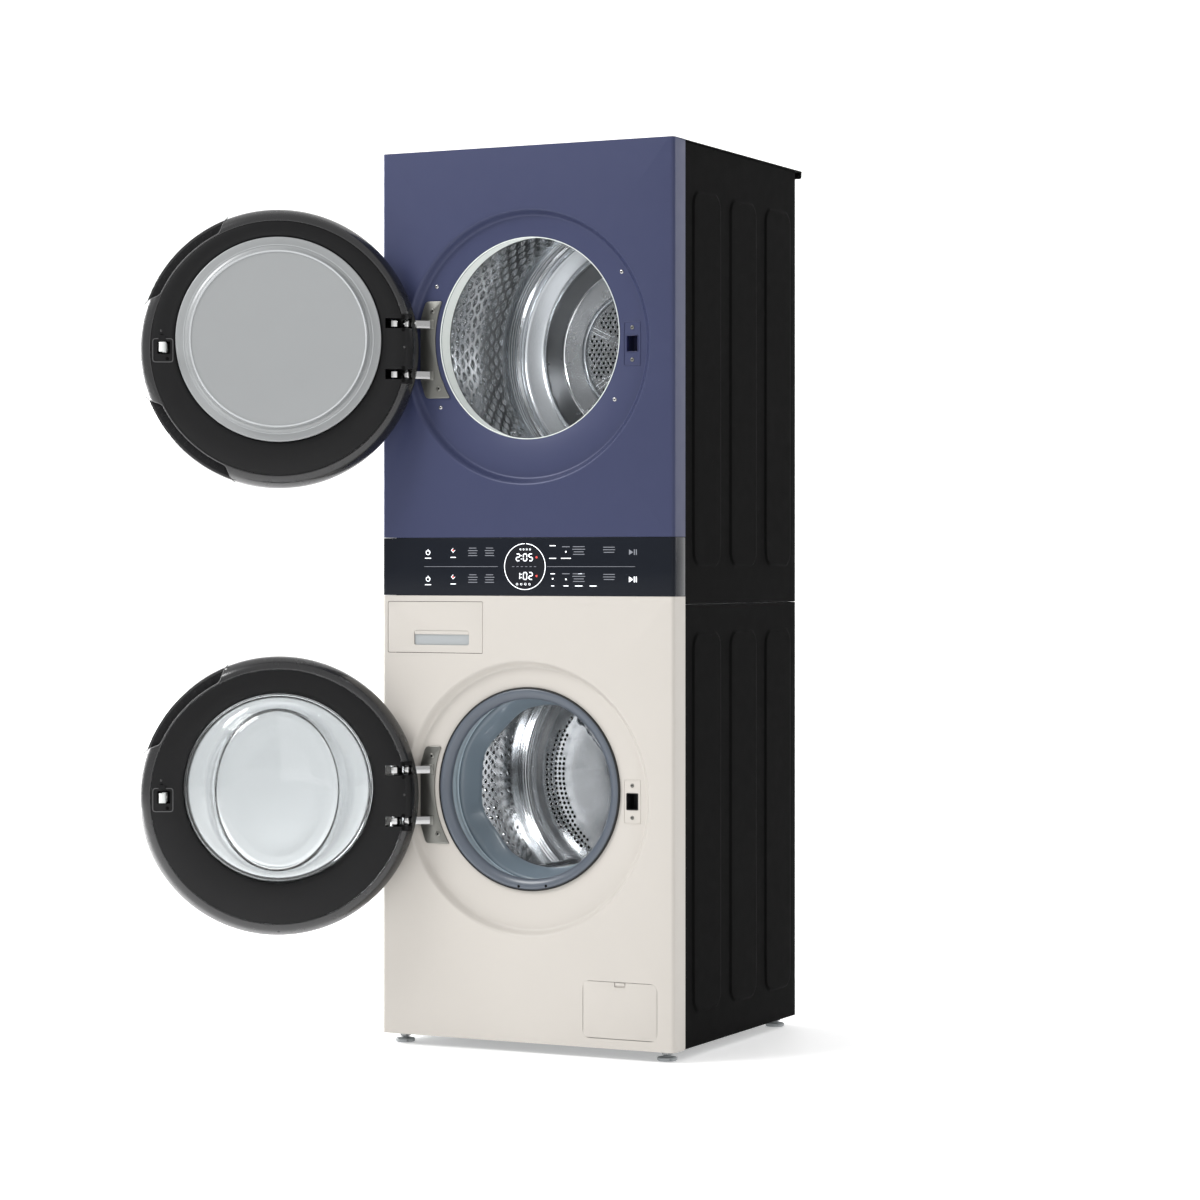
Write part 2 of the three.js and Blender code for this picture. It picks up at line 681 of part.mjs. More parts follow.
// The deep glass bowl that reaches through the gasket; its tip is an upright oval.
function washerGlass(ringZ) {
  const r = WASHER_GLASS_RADIUS;
  const wall = 4;
  return bowl([
    [0, 0, 84],
    [100, 134, 82],
    [113, 147, 74],
    [126, 150, 40],
    [142, 152, 18],
    [r - 4, r - 4, 10],
    [r, r, 8],
    [r, r, -8],
    [r - wall, r - wall, -8],
    [r - wall - 2, r - wall - 2, 4],
    [142 - wall, 152 - wall, 13],
    [126 - wall, 150 - wall, 38],
    [113 - wall, 147 - wall, 71],
    [100 - wall, 134 - wall, 78],
    [0, 0, 79],
  ], ringZ + MOUTH_RISE);
}

// A sprung hook on a short upright pivot.
function doorHook(ringZ) {
  const z0 = ringZ - HOOK_HEIGHT / 2;
  const z1 = ringZ + HOOK_HEIGHT / 2;
  const x = HOOK_OUT;
  const y = FRONT - 13;
  const hub = rodZ(5, z0, z1, x, y, 16);
  const stem = block(x - 4, x + 4, y, FRONT + 34, z0, z1);
  const nose = new THREE.Shape();
  nose.moveTo(x + 3, FRONT + 24);
  nose.lineTo(x + 9, FRONT + 25);
  nose.lineTo(x + 9, FRONT + 28);
  nose.lineTo(x + 4, FRONT + 34);
  nose.lineTo(x + 3, FRONT + 34);
  nose.closePath();
  return join(hub, stem, slabXY(nose, z0, z1));
}

function addDoor(prefix, ringZ, grips, glassRadius, glass, glassMaterial) {
  const swing = new THREE.Group();
  swing.position.set(PIVOT_X, PIVOT_Y, 0);
  swing.rotation.z = -THREE.MathUtils.degToRad(DOOR_OPEN_DEG);
  const closed = new THREE.Group();
  closed.position.set(-PIVOT_X, -PIVOT_Y, 0);
  swing.add(closed);
  stack.add(swing);
  place(closed, prefix + "_door_rim", doorRim(ringZ, grips), GLOSS_PLASTIC);
  place(closed, prefix + "_door_frame", doorFrame(ringZ, glassRadius), DARK_PLASTIC);
  place(closed, prefix + "_door_glass", glass(ringZ), glassMaterial);
  place(closed, prefix + "_door_cover", doorCover(ringZ), SMOKED_GLASS);
  place(closed, prefix + "_door_hook", doorHook(ringZ), GREY_PLASTIC);
}

// ---------- dryer inside ----------
const DRYER_DRUM_FRONT = FRONT + 62;
const DRYER_DRUM_BACK = BACK - 62;
const WELL = { width: 180, thick: 13, bottom: 116 }; // lint filter well under the mouth

function lintPlace() {
  const rim = DRYER_MOUTH_Z - DRYER_MOUTH_RADIUS;
  const y = FRONT + 45;
  return { top: rim - 4, bottom: rim - WELL.bottom, y0: y - WELL.thick / 2, y1: y + WELL.thick / 2 };
}

// A short funnel behind the mouth, a plate facing the drum and the lint filter's well.
function dryerBulkhead() {
  const r = DRYER_MOUTH_RADIUS;
  const y0 = DISH_BACK + GAP;
  const ring = turned([
    [r + 0.5, y0],
    [r + 4, y0],
    [r + 7, FRONT + 52],
    [DRYER_DRUM_RADIUS - 4, FRONT + 52],
    [DRYER_DRUM_RADIUS - 4, FRONT + 56],
    [r + 3, FRONT + 56],
  ], 0, DRYER_MOUTH_Z, ROUND);
  const p = lintPlace();
  const w = WELL.width / 2;
  const wall = 3;
  const box = block(-w - wall, w + wall, p.y0 - wall, p.y1 + wall, p.bottom - wall, p.top - 4);
  const space = block(-w, w, p.y0, p.y1, p.bottom, DRYER_MOUTH_Z - 100);
  return cut(join(ring, box), space);
}

// A mesh cassette with a finger lip, which lifts out of its well.
function lintFilter() {
  const p = lintPlace();
  const w = WELL.width / 2 - 2;
  const frame = block(-w, w, p.y0 + 1.5, p.y1 - 1.5, p.bottom + 1, p.top);
  const windows = [-1, 0, 1].map((k) =>
    block(k * 56 - 24, k * 56 + 24, p.y0, p.y1 - 4, p.bottom + 10, p.top - 16));
  const grip = block(-30, 30, p.y1 - 6, p.y1 - 1.5, p.top - 1, p.top + 5);
  return join(cut(frame, ...windows), grip);
}

function dryerDrumShell() {
  const r = DRYER_DRUM_RADIUS;
  const y0 = DRYER_DRUM_FRONT;
  const y1 = DRYER_DRUM_BACK;
  return turned([
    [DRYER_MOUTH_RADIUS + 9, y0],
    [r - 10, y0],
    [r, y0 + 10],
    [r, y1],
    [r - DRUM_WALL, y1],
    [r - DRUM_WALL, y0 + 11],
    [r - 11, y0 + DRUM_WALL],
    [DRYER_MOUTH_RADIUS + 9, y0 + DRUM_WALL],
  ], 0, DRYER_MOUTH_Z, ROUND);
}

// The stepped rear wall with its air grille and the shaft that turns in the back's hub.
function dryerDrumBack() {
  const y = DRYER_DRUM_BACK;
  const r = DRYER_DRUM_RADIUS - DRUM_WALL - GAP;
  const deep = BACK + TOP_OVERHANG - 12;
  const wall = turned([
    [0, y - 6],
    [109, y - 6],
    [113, y - 12],
    [118, y - 8],
    [162, y - 8],
    [165, y - 4],
    [200, y - 4],
    [204, y - 1],
    [209, y - 4],
    [r - 4, y - 16],
    [r, y - 16],
    [r, y + 4],
    [30, y + 4],
    [26, y + 10],
    [PIN_RADIUS * 3, y + 10],
    [PIN_RADIUS * 3, deep],
    [0, deep],
  ], 0, DRYER_MOUTH_Z);
  return wall;
}

const MOTOR = { x: 170, drop: 300, y0: 20, y1: 130, radius: 52 };
const BELT_Y = MOTOR.y1 + 24;
const MOTOR_Z = DRYER_MOUTH_Z - MOTOR.drop;
const MOTOR_TIP = BELT_Y + BELT_WIDTH + 4;

function dryerMotor() {
  const r = MOTOR.radius;
  const can = turned([
    [0, MOTOR.y0],
    [r - 6, MOTOR.y0],
    [r, MOTOR.y0 + 8],
    [r, MOTOR.y1 - 8],
    [r - 6, MOTOR.y1],
    [0, MOTOR.y1],
  ], MOTOR.x, MOTOR_Z, 14);
  const cradle = block(
    MOTOR.x - 45, MOTOR.x + 45, MOTOR.y0 + 15, MOTOR.y1 - 15, SPLIT_Z + 4 + GAP, MOTOR_Z - r / 2,
  );
  const bore = rodY(5 + GAP, MOTOR.y1 - 30, MOTOR.y1 + 1, MOTOR.x, MOTOR_Z, 12);
  return cut(join(can, cradle), bore);
}

function motorPulley() {
  const r = PULLEY_RADIUS;
  return turned([
    [0, MOTOR.y1 - 29],
    [5, MOTOR.y1 - 29],
    [5, BELT_Y - 4],
    [r + 4, BELT_Y - 4],
    [r + 4, BELT_Y - 1],
    [r, BELT_Y - 1],
    [r, BELT_Y + BELT_WIDTH + 1],
    [r + 4, BELT_Y + BELT_WIDTH + 1],
    [r + 4, MOTOR_TIP],
    [0, MOTOR_TIP],
  ], MOTOR.x, MOTOR_Z, 14);
}

// A flat belt round the drum and the motor pulley: two arcs and their outer tangents.
function beltOutline(grow) {
  const big = DRYER_DRUM_RADIUS + grow;
  const small = PULLEY_RADIUS + grow;
  const dz = MOTOR_Z - DRYER_MOUTH_Z;
  const distance = Math.hypot(MOTOR.x, dz);
  const lean = Math.atan2(dz, MOTOR.x);
  const wrap = Math.acos((big - small) / distance);
  const s = new THREE.Shape();
  s.absarc(0, DRYER_MOUTH_Z, big, lean + wrap, lean - wrap + 2 * Math.PI, false);
  s.absarc(MOTOR.x, MOTOR_Z, small, lean - wrap, lean + wrap, false);
  s.closePath();
  return s;
}

function drumBelt() {
  const outer = slabXZ(beltOutline(6), BELT_Y, BELT_Y + BELT_WIDTH, 16);
  const inner = slabXZ(beltOutline(4), BELT_Y - 1, BELT_Y + BELT_WIDTH + 1, 16);
  return cut(outer, inner);
}

function compressor() {
  const x = -160;
  const y = 90;
  const z = SPLIT_Z + 4 + GAP;
  const can = upright([
    [0, z],
    [70, z],
    [70, z + 6],
    [58, z + 12],
    [62, z + 30],
    [62, z + 140],
    [50, z + 165],
    [0, z + 172],
  ], x, y, 16);
  return join(can, rodZ(7, z + 150, z + 186, x + 30, y + 20, 8));
}

// Finned block between two end plates.
function heatExchanger() {
  const z = SPLIT_Z + 4 + GAP;
  const [x0, x1, y0, y1, top] = [-110, 100, FRONT + 100, FRONT + 270, z + 140];
  const core = block(x0, x1, y0 + 8, y1 - 8, z, top - 6);
  const fins = Array.from({ length: 6 }, (_, k) => {
    const x = x0 + ((k + 0.5) * (x1 - x0)) / 6;
    return block(x - 5, x + 5, y0, y1, z, top);
  });
  return join(core, ...fins);
}

function blowerHousing() {
  const z = SPLIT_Z + 4 + GAP;
  const y0 = BACK - 90;
  const scroll = rodY(78, y0, y0 + 50, 20, z + 84, 28);
  const outlet = block(-60, 20, y0, y0 + 50, z + 100, z + 162);
  const foot = block(-30, 70, y0, y0 + 50, z, z + 40);
  return cut(join(scroll, outlet, foot), rodY(34, y0 - 1, y0 + 40, 20, z + 84, 24));
}

// ---------- washer inside ----------
const TUB_FRONT = FRONT + 94;
const TUB_JOINT = 10;
const TUB_BACK = BACK - 66;
const WASHER_DRUM_FRONT = TUB_FRONT + 12;
const WASHER_DRUM_BACK = TUB_BACK - 18;
const SHAFT_RADIUS = 15;
const GASKET_LIP = 165;

function washerGasket() {
  const r = WASHER_MOUTH_RADIUS - 0.5;
  return turned([
    [GASKET_LIP + 3, FRONT + 13],
    [r - 4, FRONT + 11],
    [r, FRONT + 14],
    [r, FRONT + 30],
    [r - 6, FRONT + 40],
    [r + 1, FRONT + 54],
    [r + 1, FRONT + 80],
    [r - 3, FRONT + 80],
    [r - 3, FRONT + 57],
    [r - 11, FRONT + 42],
    [GASKET_LIP + 2, FRONT + 30],
    [GASKET_LIP, FRONT + 17],
  ], 0, WASHER_MOUTH_Z, ROUND);
}

function tubFront() {
  const r = TUB_RADIUS;
  const neck = WASHER_MOUTH_RADIUS + 1.5;
  return turned([
    [neck, TUB_FRONT - 18],
    [neck + 5, TUB_FRONT - 18],
    [neck + 5, TUB_FRONT],
    [r - 12, TUB_FRONT],
    [r, TUB_FRONT + 12],
    [r, TUB_JOINT - 6],
    [r + 5, TUB_JOINT - 6],
    [r + 5, TUB_JOINT],
    [r - TUB_WALL, TUB_JOINT],
    [r - TUB_WALL, TUB_FRONT + 14],
    [r - 14, TUB_FRONT + TUB_WALL],
    [neck, TUB_FRONT + TUB_WALL],
  ], 0, WASHER_MOUTH_Z, ROUND);
}

function tubBack() {
  const r = TUB_RADIUS;
  const bore = SHAFT_RADIUS + GAP;
  const y0 = TUB_JOINT + GAP;
  return turned([
    [r - TUB_WALL, y0],
    [r + 5, y0],
    [r + 5, y0 + 6],
    [r, y0 + 6],
    [r, TUB_BACK - 12],
    [r - 12, TUB_BACK],
    [50, TUB_BACK],
    [46, TUB_BACK + 12],
    [bore, TUB_BACK + 12],
    [bore, TUB_BACK - TUB_WALL],
    [r - 14, TUB_BACK - TUB_WALL],
    [r - TUB_WALL, TUB_BACK - 14],
  ], 0, WASHER_MOUTH_Z, ROUND);
}

// Direct drive: wound stator on the tub, magnet cup on the shaft.
function stator() {
  const y = TUB_BACK + GAP;
  const section = [[56, y], [62, y], [104, y + 6], [104, y + 26], [62, y + 26], [56, y + 20]];
  return turned(section, 0, WASHER_MOUTH_Z, 18);
}

function rotor() {
  const y = TUB_BACK + 8;
  return turned([
    [SHAFT_RADIUS + GAP, y + 14],
    [32, y + 14],
    [36, y + 28],
    [108, y + 28],
    [108, y],
    [114, y],
    [114, y + 32],
    [30, y + 32],
    [SHAFT_RADIUS + GAP, y + 26],
  ], 0, WASHER_MOUTH_Z, 24);
}

const LIFTER = { height: 28, angles: [95, 215, 335] };

// The perforated shell and the three lifters pressed up from it.
function washerDrumShell() {
  const r = WASHER_DRUM_RADIUS;
  const y0 = WASHER_DRUM_FRONT;
  const y1 = WASHER_DRUM_BACK;
  const mouth = WASHER_MOUTH_RADIUS + 4;
  const shell = turned([
    [mouth, y0],
    [r - 12, y0],
    [r, y0 + 12],
    [r, y1],
    [r - DRUM_WALL, y1],
    [r - DRUM_WALL, y0 + 13],
    [r - 13, y0 + DRUM_WALL],
    [mouth, y0 + DRUM_WALL],
  ], 0, WASHER_MOUTH_Z, ROUND);
  const section = new THREE.Shape();
  const base = r - 2;
  section.moveTo(base, -34);
  section.quadraticCurveTo(base - LIFTER.height, -26, base - LIFTER.height, 0);
  section.quadraticCurveTo(base - LIFTER.height, 26, base, 34);
  section.closePath();
  const bars = LIFTER.angles.map((deg) => {
    const bar = slabXZ(section, y0 + 30, y1 - 20, 5);
    return bar.rotate([0, -deg, 0]).translate([0, 0, WASHER_MOUTH_Z]);
  });
  const round = rodY(r - 0.5, y0 - 1, y1 + 1, 0, WASHER_MOUTH_Z, ROUND);
  return join(shell, ...bars.map((bar) => bar.intersect(round)));
}

// The rear wall, the three-armed spider behind it and the shaft.
function washerDrumBack() {
  const y = WASHER_DRUM_BACK;
  const r = WASHER_DRUM_RADIUS - DRUM_WALL - GAP;
  const tip = TUB_BACK + 38;
  const wall = turned([
    [0, y - 22],
    [70, y - 22],
    [110, y - 12],
    [150, y - 6],
    [205, y - 6],
    [r - 6, y - 10],
    [r, y - 10],
    [r, y],
    [60, y],
    [40, y + 10],
    [SHAFT_RADIUS, y + 10],
    [SHAFT_RADIUS, tip],
    [0, tip],
  ], 0, WASHER_MOUTH_Z);
  const arms = [90, 210, 330].map((deg) =>
    block(0, r - 20, y - 3, y + 8, -13, 13).rotate([0, deg, 0]).translate([0, 0, WASHER_MOUTH_Z]));
  return join(wall, ...arms);
}

function counterweight() {
  const y1 = TUB_FRONT - GAP;
  const z = WASHER_MOUTH_Z;
  return slabXZ(
    ringSector(0, z, WASHER_MOUTH_RADIUS + 9, TUB_RADIUS - 14, -0.92 * Math.PI, -0.08 * Math.PI),
    y1 - 30, y1, 14,
  );
}

const HANG_X = 170;
const LEG_X = 140;

// A coil spring drawn as its ribbed outline, with a hook rod at each end.
function tubSpring(side) {
  const x = side * HANG_X;
  const low = WASHER_MOUTH_Z + Math.sqrt(TUB_RADIUS ** 2 - HANG_X ** 2) + 8;
  const high = SPLIT_Z - 8.5;
  const coil = high - low - 40;
  const turns = 4;
  const profile = [[0, low], [3, low], [3, low + 20]];
  for (let i = 0; i < turns; i++) {
    const z = low + 20 + (coil * i) / turns;
    const rise = coil / turns;
    profile.push([9, z + 0.25 * rise], [9, z + 0.6 * rise], [6.5, z + 0.9 * rise]);
  }
  profile.push([3, high - 19], [3, high], [0, high]);
  return upright(profile, x, TUB_JOINT + 18, 8);
}

function tubDamper(side) {
  const x = side * LEG_X;
  const high = WASHER_MOUTH_Z - Math.sqrt(TUB_RADIUS ** 2 - LEG_X ** 2) - 9;
  const low = SHEET + GAP;
  const half = (high - low) / 2;
  return upright([
    [0, low],
    [9, low],
    [13, low + 10],
    [13, low + half + 10],
    [5, low + half + 14],
    [5, high],
    [0, high],
  ], x, TUB_JOINT + 18, 10);
}

// ---------- detergent drawer and its housing ----------
function detergentDrawer() {
  const { x0, x1, z0, z1 } = drawer;
  const face = FRONT + 12;
  const recess = {
    x0: x0 + RECESS.left,
    x1: x0 + RECESS.left + RECESS.width,
    z0: z0 + RECESS.low,
    z1: z0 + RECESS.low + RECESS.height,
  };
  const deep = FRONT + RECESS.depth;
  const plate = block(x0, x1, FRONT, face, z0, z1);
  const tray = block(x0 + 10, x1 - 10, face - 1, face + DRAWER.tray, z0 + 7, z1 - 28);
  const hollows = [
    block(x0 + 12.5, x0 + 70, deep + 8, face + DRAWER.tray - 3, z0 + 10, z1),
    block(x0 + 73, x1 - 12.5, deep + 8, face + DRAWER.tray - 3, z0 + 10, z1),
  ];
  const grip = block(recess.x0, recess.x1, FRONT - 1, deep, recess.z0, recess.z1);
  return cut(join(plate, tray), ...hollows, grip);
}

function dispenserBox() {
  const { x0, x1, z0, z1 } = drawer;
  const y0 = FRONT + 18;
  const y1 = FRONT + 12 + DRAWER.tray + 8;
  return cut(
    block(x0 + 6, x1 - 6, y0, y1, z0 + 3, z1 - 13),
    block(x0 + 8.5, x1 - 8.5, y0 - 1, y1 - 3, z0 + 5.5, z1 - 16),
  );
}

function inletValve() {
  const z = VALVE.z;
  const y1 = BACK - 6;
  const body = block(VALVE.x[0] - 16, VALVE.x[1] + 16, y1 - 50, y1 - 8, z - 22, z + 22);
  const spigots = VALVE.x.map((x) => rodY(VALVE.spigot, y1 - 12, BACK + 16, x, z, 16));
  return join(body, ...spigots);
}

// ---------- drain pump and its service cover ----------
const PUMP_X = (cover.x0 + cover.x1) / 2;
const PUMP_Z = (cover.z0 + cover.z1) / 2;

function drainPump() {
  const y0 = FRONT + 20;
  const can = turned([
    [29.5, y0],
    [34, y0],
    [34, y0 + 70],
    [24, y0 + 76],
    [24, y0 + 120],
    [0, y0 + 120],
    [0, y0 + 30],
    [29.5, y0 + 30],
  ], PUMP_X, PUMP_Z, 16);
  const foot = block(PUMP_X - 30, PUMP_X + 30, y0 + 20, y0 + 66, SHEET + GAP, PUMP_Z - 31);
  return join(can, foot);
}

function drainFilterCap() {
  const y = FRONT + 20;
  const plug = rodY(28.5, y - 6, y + 24, PUMP_X, PUMP_Z, 16);
  const bar = block(PUMP_X - 20, PUMP_X + 20, y - 15, y - 5, PUMP_Z - 4, PUMP_Z + 4);
  return join(plug, bar);
}

const COVER_THICK = FASCIA_WALL + GAP;

function filterCover() {
  const outline = roundedRect(cover.x0, cover.x1, cover.z0, cover.z1, COVER.corner, COVER.foot);
  const plate = slabXZ(outline, FRONT, FRONT + COVER_THICK, 4);
  const tab = block(PUMP_X - 11, PUMP_X + 11, FRONT - 1, FRONT + 1.5, cover.z1 - 12, cover.z1 + 1);
  return cut(plate, tab);
}

// ---------- assembly ----------
const sides = { left: -1, right: 1 };
place(stack, "base_pan", basePan(), ZINC);
footPlaces().forEach(([x, y], k) => {
  const names = ["foot_front_left", "foot_front_right", "foot_back_left", "foot_back_right"];
  place(stack, names[k], foot(x, y), GREY_PLASTIC);
});
for (const [name, side] of Object.entries(sides)) {
  const low = EMBOSS_MARGIN.low;
  const high = SPLIT_Z - EMBOSS_MARGIN.high;
  const dryerLow = SPLIT_Z + EMBOSS_MARGIN.dryerLow;
  const dryerHigh = TOP - EMBOSS_MARGIN.dryerHigh;
  place(stack, "washer_side_" + name, sideCasing(side, 0, SPLIT_Z - 0.5, low, high), BLACK_PAINT);
  place(
    stack, "dryer_side_" + name,
    sideCasing(side, SPLIT_Z + 0.5, TOP - TOP_PLATE - GAP, dryerLow, dryerHigh), BLACK_PAINT,
  );
  place(stack, "tub_spring_" + name, tubSpring(side), STAINLESS);
  place(stack, "tub_damper_" + name, tubDamper(side), DARK_PLASTIC);
}
place(stack, "washer_back_panel", washerBack(), ZINC);
place(stack, "dryer_back_panel", dryerBack(), ZINC);
place(stack, "divider_shelf", dividerShelf(), ZINC);
place(stack, "top_cover", topCover(), BLACK_PAINT);
place(stack, "washer_front_panel", washerFront(), BEIGE_PAINT);
place(stack, "dryer_front_panel", dryerFront(), BLUE_PAINT);
place(stack, "control_fascia", controlFascia(), FASCIA_BLACK);
place(stack, "display_lens", displayLens(), SMOKED_GLASS);
place(stack, "control_board", controlBoard(), BOARD_GREEN);

const dryerHinge = hingeBracket(DRYER_RING_Z, DRYER_MOUTH_Z, DRYER_MOUTH_RADIUS);
const washerHinge = hingeBracket(WASHER_RING_Z, WASHER_MOUTH_Z, WASHER_MOUTH_RADIUS);
place(stack, "dryer_hinge_bracket", dryerHinge, ZINC);
place(stack, "washer_hinge_bracket", washerHinge, ZINC);
place(stack, "dryer_latch", latch(DRYER_RING_Z), DARK_PLASTIC);
place(stack, "washer_latch", latch(WASHER_RING_Z), DARK_PLASTIC);
addDoor("dryer", DRYER_RING_Z, [[18, 69], [-72, -20]], DRYER_GLASS_RADIUS, dryerGlass, GREY_PLASTIC);
addDoor("washer", WASHER_RING_Z, [[18, 69]], WASHER_GLASS_RADIUS, washerGlass, CLEAR_GLASS);

place(stack, "dryer_bulkhead", dryerBulkhead(), GREY_PLASTIC);
place(stack, "lint_filter", lintFilter(), DARK_PLASTIC);
place(stack, "dryer_drum_shell", dryerDrumShell(), STAINLESS);
place(stack, "dryer_drum_back", dryerDrumBack(), STAINLESS);
place(stack, "drum_belt", drumBelt(), BLACK_RUBBER);
place(stack, "motor_pulley", motorPulley(), ZINC);
place(stack, "dryer_motor", dryerMotor(), CAST_GREY);
place(stack, "compressor", compressor(), CAST_GREY);
place(stack, "heat_exchanger", heatExchanger(), COPPER);
place(stack, "blower_housing", blowerHousing(), DARK_PLASTIC);

place(stack, "washer_gasket", washerGasket(), GREY_RUBBER);
place(stack, "washer_tub_front", tubFront(), GREY_PLASTIC);
place(stack, "washer_tub_back", tubBack(), GREY_PLASTIC);
place(stack, "washer_drum_shell", washerDrumShell(), STAINLESS);
place(stack, "washer_drum_back", washerDrumBack(), STAINLESS);
place(stack, "motor_stator", stator(), COPPER);
place(stack, "motor_rotor", rotor(), CAST_GREY);
place(stack, "counterweight", counterweight(), CAST_GREY);
place(stack, "detergent_drawer", detergentDrawer(), BEIGE_PAINT);
place(stack, "dispenser_box", dispenserBox(), GREY_PLASTIC);
place(stack, "inlet_valve", inletValve(), GREY_PLASTIC);
place(stack, "drain_pump", drainPump(), DARK_PLASTIC);
place(stack, "drain_filter_cap", drainFilterCap(), GREY_PLASTIC);
place(stack, "filter_cover", filterCover(), BEIGE_PAINT);

export default stack;
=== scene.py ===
"""A washer and dryer tower with both doors standing open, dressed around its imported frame. Metres."""
import json
import math

import bmesh
import bpy
import numpy as np
from mathutils import Matrix, Vector


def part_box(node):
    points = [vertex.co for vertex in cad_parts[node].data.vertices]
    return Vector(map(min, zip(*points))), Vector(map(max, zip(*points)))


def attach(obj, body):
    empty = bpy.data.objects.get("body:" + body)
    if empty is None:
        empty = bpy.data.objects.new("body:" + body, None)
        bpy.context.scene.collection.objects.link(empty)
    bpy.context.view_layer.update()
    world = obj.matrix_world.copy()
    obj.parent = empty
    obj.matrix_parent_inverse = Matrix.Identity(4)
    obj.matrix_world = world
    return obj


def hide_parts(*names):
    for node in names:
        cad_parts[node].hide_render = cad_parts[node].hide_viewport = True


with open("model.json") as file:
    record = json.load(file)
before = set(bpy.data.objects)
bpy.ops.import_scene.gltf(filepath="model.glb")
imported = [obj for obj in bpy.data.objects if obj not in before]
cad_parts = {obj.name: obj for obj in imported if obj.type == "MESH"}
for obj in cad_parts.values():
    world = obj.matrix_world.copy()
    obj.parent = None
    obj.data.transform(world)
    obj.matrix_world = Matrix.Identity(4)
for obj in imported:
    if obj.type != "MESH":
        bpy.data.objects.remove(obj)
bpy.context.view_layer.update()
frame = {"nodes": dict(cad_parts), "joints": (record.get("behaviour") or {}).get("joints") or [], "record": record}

MM = 0.001
GAP = 0.3 * MM
SHEET = 2 * MM


# ---------------------------------------------------------------- places, from the frame
def low(node):
    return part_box(node)[0]


def high(node):
    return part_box(node)[1]


def middle(node, axis):
    return (low(node)[axis] + high(node)[axis]) / 2


X, Y, Z = 0, 1, 2
SIDE = high("washer_front_panel")[X]
FRONT = low("washer_front_panel")[Y]
BACK = high("washer_side_right")[Y]
TOP = high("top_cover")[Z]
FOOT = low("foot_front_left")[Z]
PANEL_LOW = low("control_fascia")[Z]
PANEL_HIGH = high("control_fascia")[Z]
PANEL_MID = (PANEL_LOW + PANEL_HIGH) / 2
RETURN_END = high("control_fascia")[Y]
DISH_BACK = low("dryer_latch")[Y] - GAP
WALL = 3 * MM
DISH_FLOOR = DISH_BACK - WALL
DISH_RADIUS = 253.5 * MM
RING = {"dryer": middle("dryer_hinge_bracket", Z), "washer": middle("washer_hinge_bracket", Z)}
MOUTH = {"dryer": middle("dryer_drum_shell", Z), "washer": middle("washer_drum_shell", Z)}
MOUTH_RADIUS = {"dryer": 184 * MM, "washer": 185.5 * MM}
JOINT = {joint["name"]: joint for joint in frame["joints"]}
DRUM_RADIUS = {"dryer": 265 * MM, "washer": 243 * MM}
DRUM_SHEET = 2.6 * MM
LATCH_X = 210 * MM
LIFTERS = (95, 215, 335)
REAR_ARMS = (78, 198, 318)
PIVOT = JOINT["dryer_door_hinge"]["pos_m"][:2]
OPEN = math.radians(150)
DOOR_FACE = FRONT + 8 * MM


def scaled(pairs, x=0.0, y=0.0):
    """Points given in millimetres, counted from (x, y)."""
    return [(x + a * MM, y + b * MM) for a, b in pairs]


# ---------------------------------------------------------------- mesh building
def new_piece(name, verts, faces, material, smooth=True, crease=38):
    """A mesh object with outward normals, smooth but for its creases."""
    mesh = bpy.data.meshes.new(name)
    mesh.from_pydata([tuple(v) for v in verts], [], faces)
    piece = bpy.data.objects.new(name, mesh)
    bpy.context.scene.collection.objects.link(piece)
    mesh.materials.append(material)
    tidy_mesh(piece, smooth, crease)
    return piece


def tidy_mesh(piece, smooth=True, crease=38):
    work = bmesh.new()
    work.from_mesh(piece.data)
    bmesh.ops.remove_doubles(work, verts=work.verts, dist=1e-6)
    bmesh.ops.dissolve_degenerate(work, dist=1e-7, edges=work.edges)
    bmesh.ops.recalc_face_normals(work, faces=work.faces)
    work.to_mesh(piece.data)
    work.free()
    if smooth:
        piece.data.shade_smooth()
        piece.data.set_sharp_from_angle(angle=math.radians(crease))


def bake(piece):
    """Turns a piece's modifiers into its mesh."""
    depsgraph = bpy.context.evaluated_depsgraph_get()
    made = bpy.data.meshes.new_from_object(piece.evaluated_get(depsgraph))
    piece.modifiers.clear()
    old = piece.data
    piece.data = made
    bpy.data.meshes.remove(old)
    made.name = piece.name
    return piece


def carve(piece, cutters, operation="DIFFERENCE", crease=38):
    """Cuts each cutter out of the piece, or joins it on, and deletes the cutters."""
    for cutter in cutters:
        step = piece.modifiers.new("carve", "BOOLEAN")
        step.operation = operation
        step.object = cutter
        step.solver = "EXACT"
    bake(piece)
    for cutter in cutters:
        bpy.data.objects.remove(cutter)
    piece.data.shade_smooth()
    piece.data.set_sharp_from_angle(angle=math.radians(crease))
    return piece


def soften(piece, width, segments=3, angle=30):
    """Rounds a piece's edges."""
    step = piece.modifiers.new("round", "BEVEL")
    step.width = width
    step.segments = segments
    step.limit_method = "ANGLE"
    step.angle_limit = math.radians(angle)
    step.harden_normals = False
    bake(piece)
    piece.data.shade_smooth()
    piece.data.set_sharp_from_angle(angle=math.radians(50))
    return piece


def block(name, lo, hi, material, rounding=0.0):
    """A box between two corners, with rounded edges if asked."""
    corners = [(x, y, z) for x in (lo[0], hi[0]) for y in (lo[1], hi[1]) for z in (lo[2], hi[2])]
    faces = [(0, 1, 3, 2), (4, 6, 7, 5), (0, 4, 5, 1), (2, 3, 7, 6), (0, 2, 6, 4), (1, 5, 7, 3)]
    piece = new_piece(name, corners, faces, material)
    return soften(piece, rounding) if rounding else piece


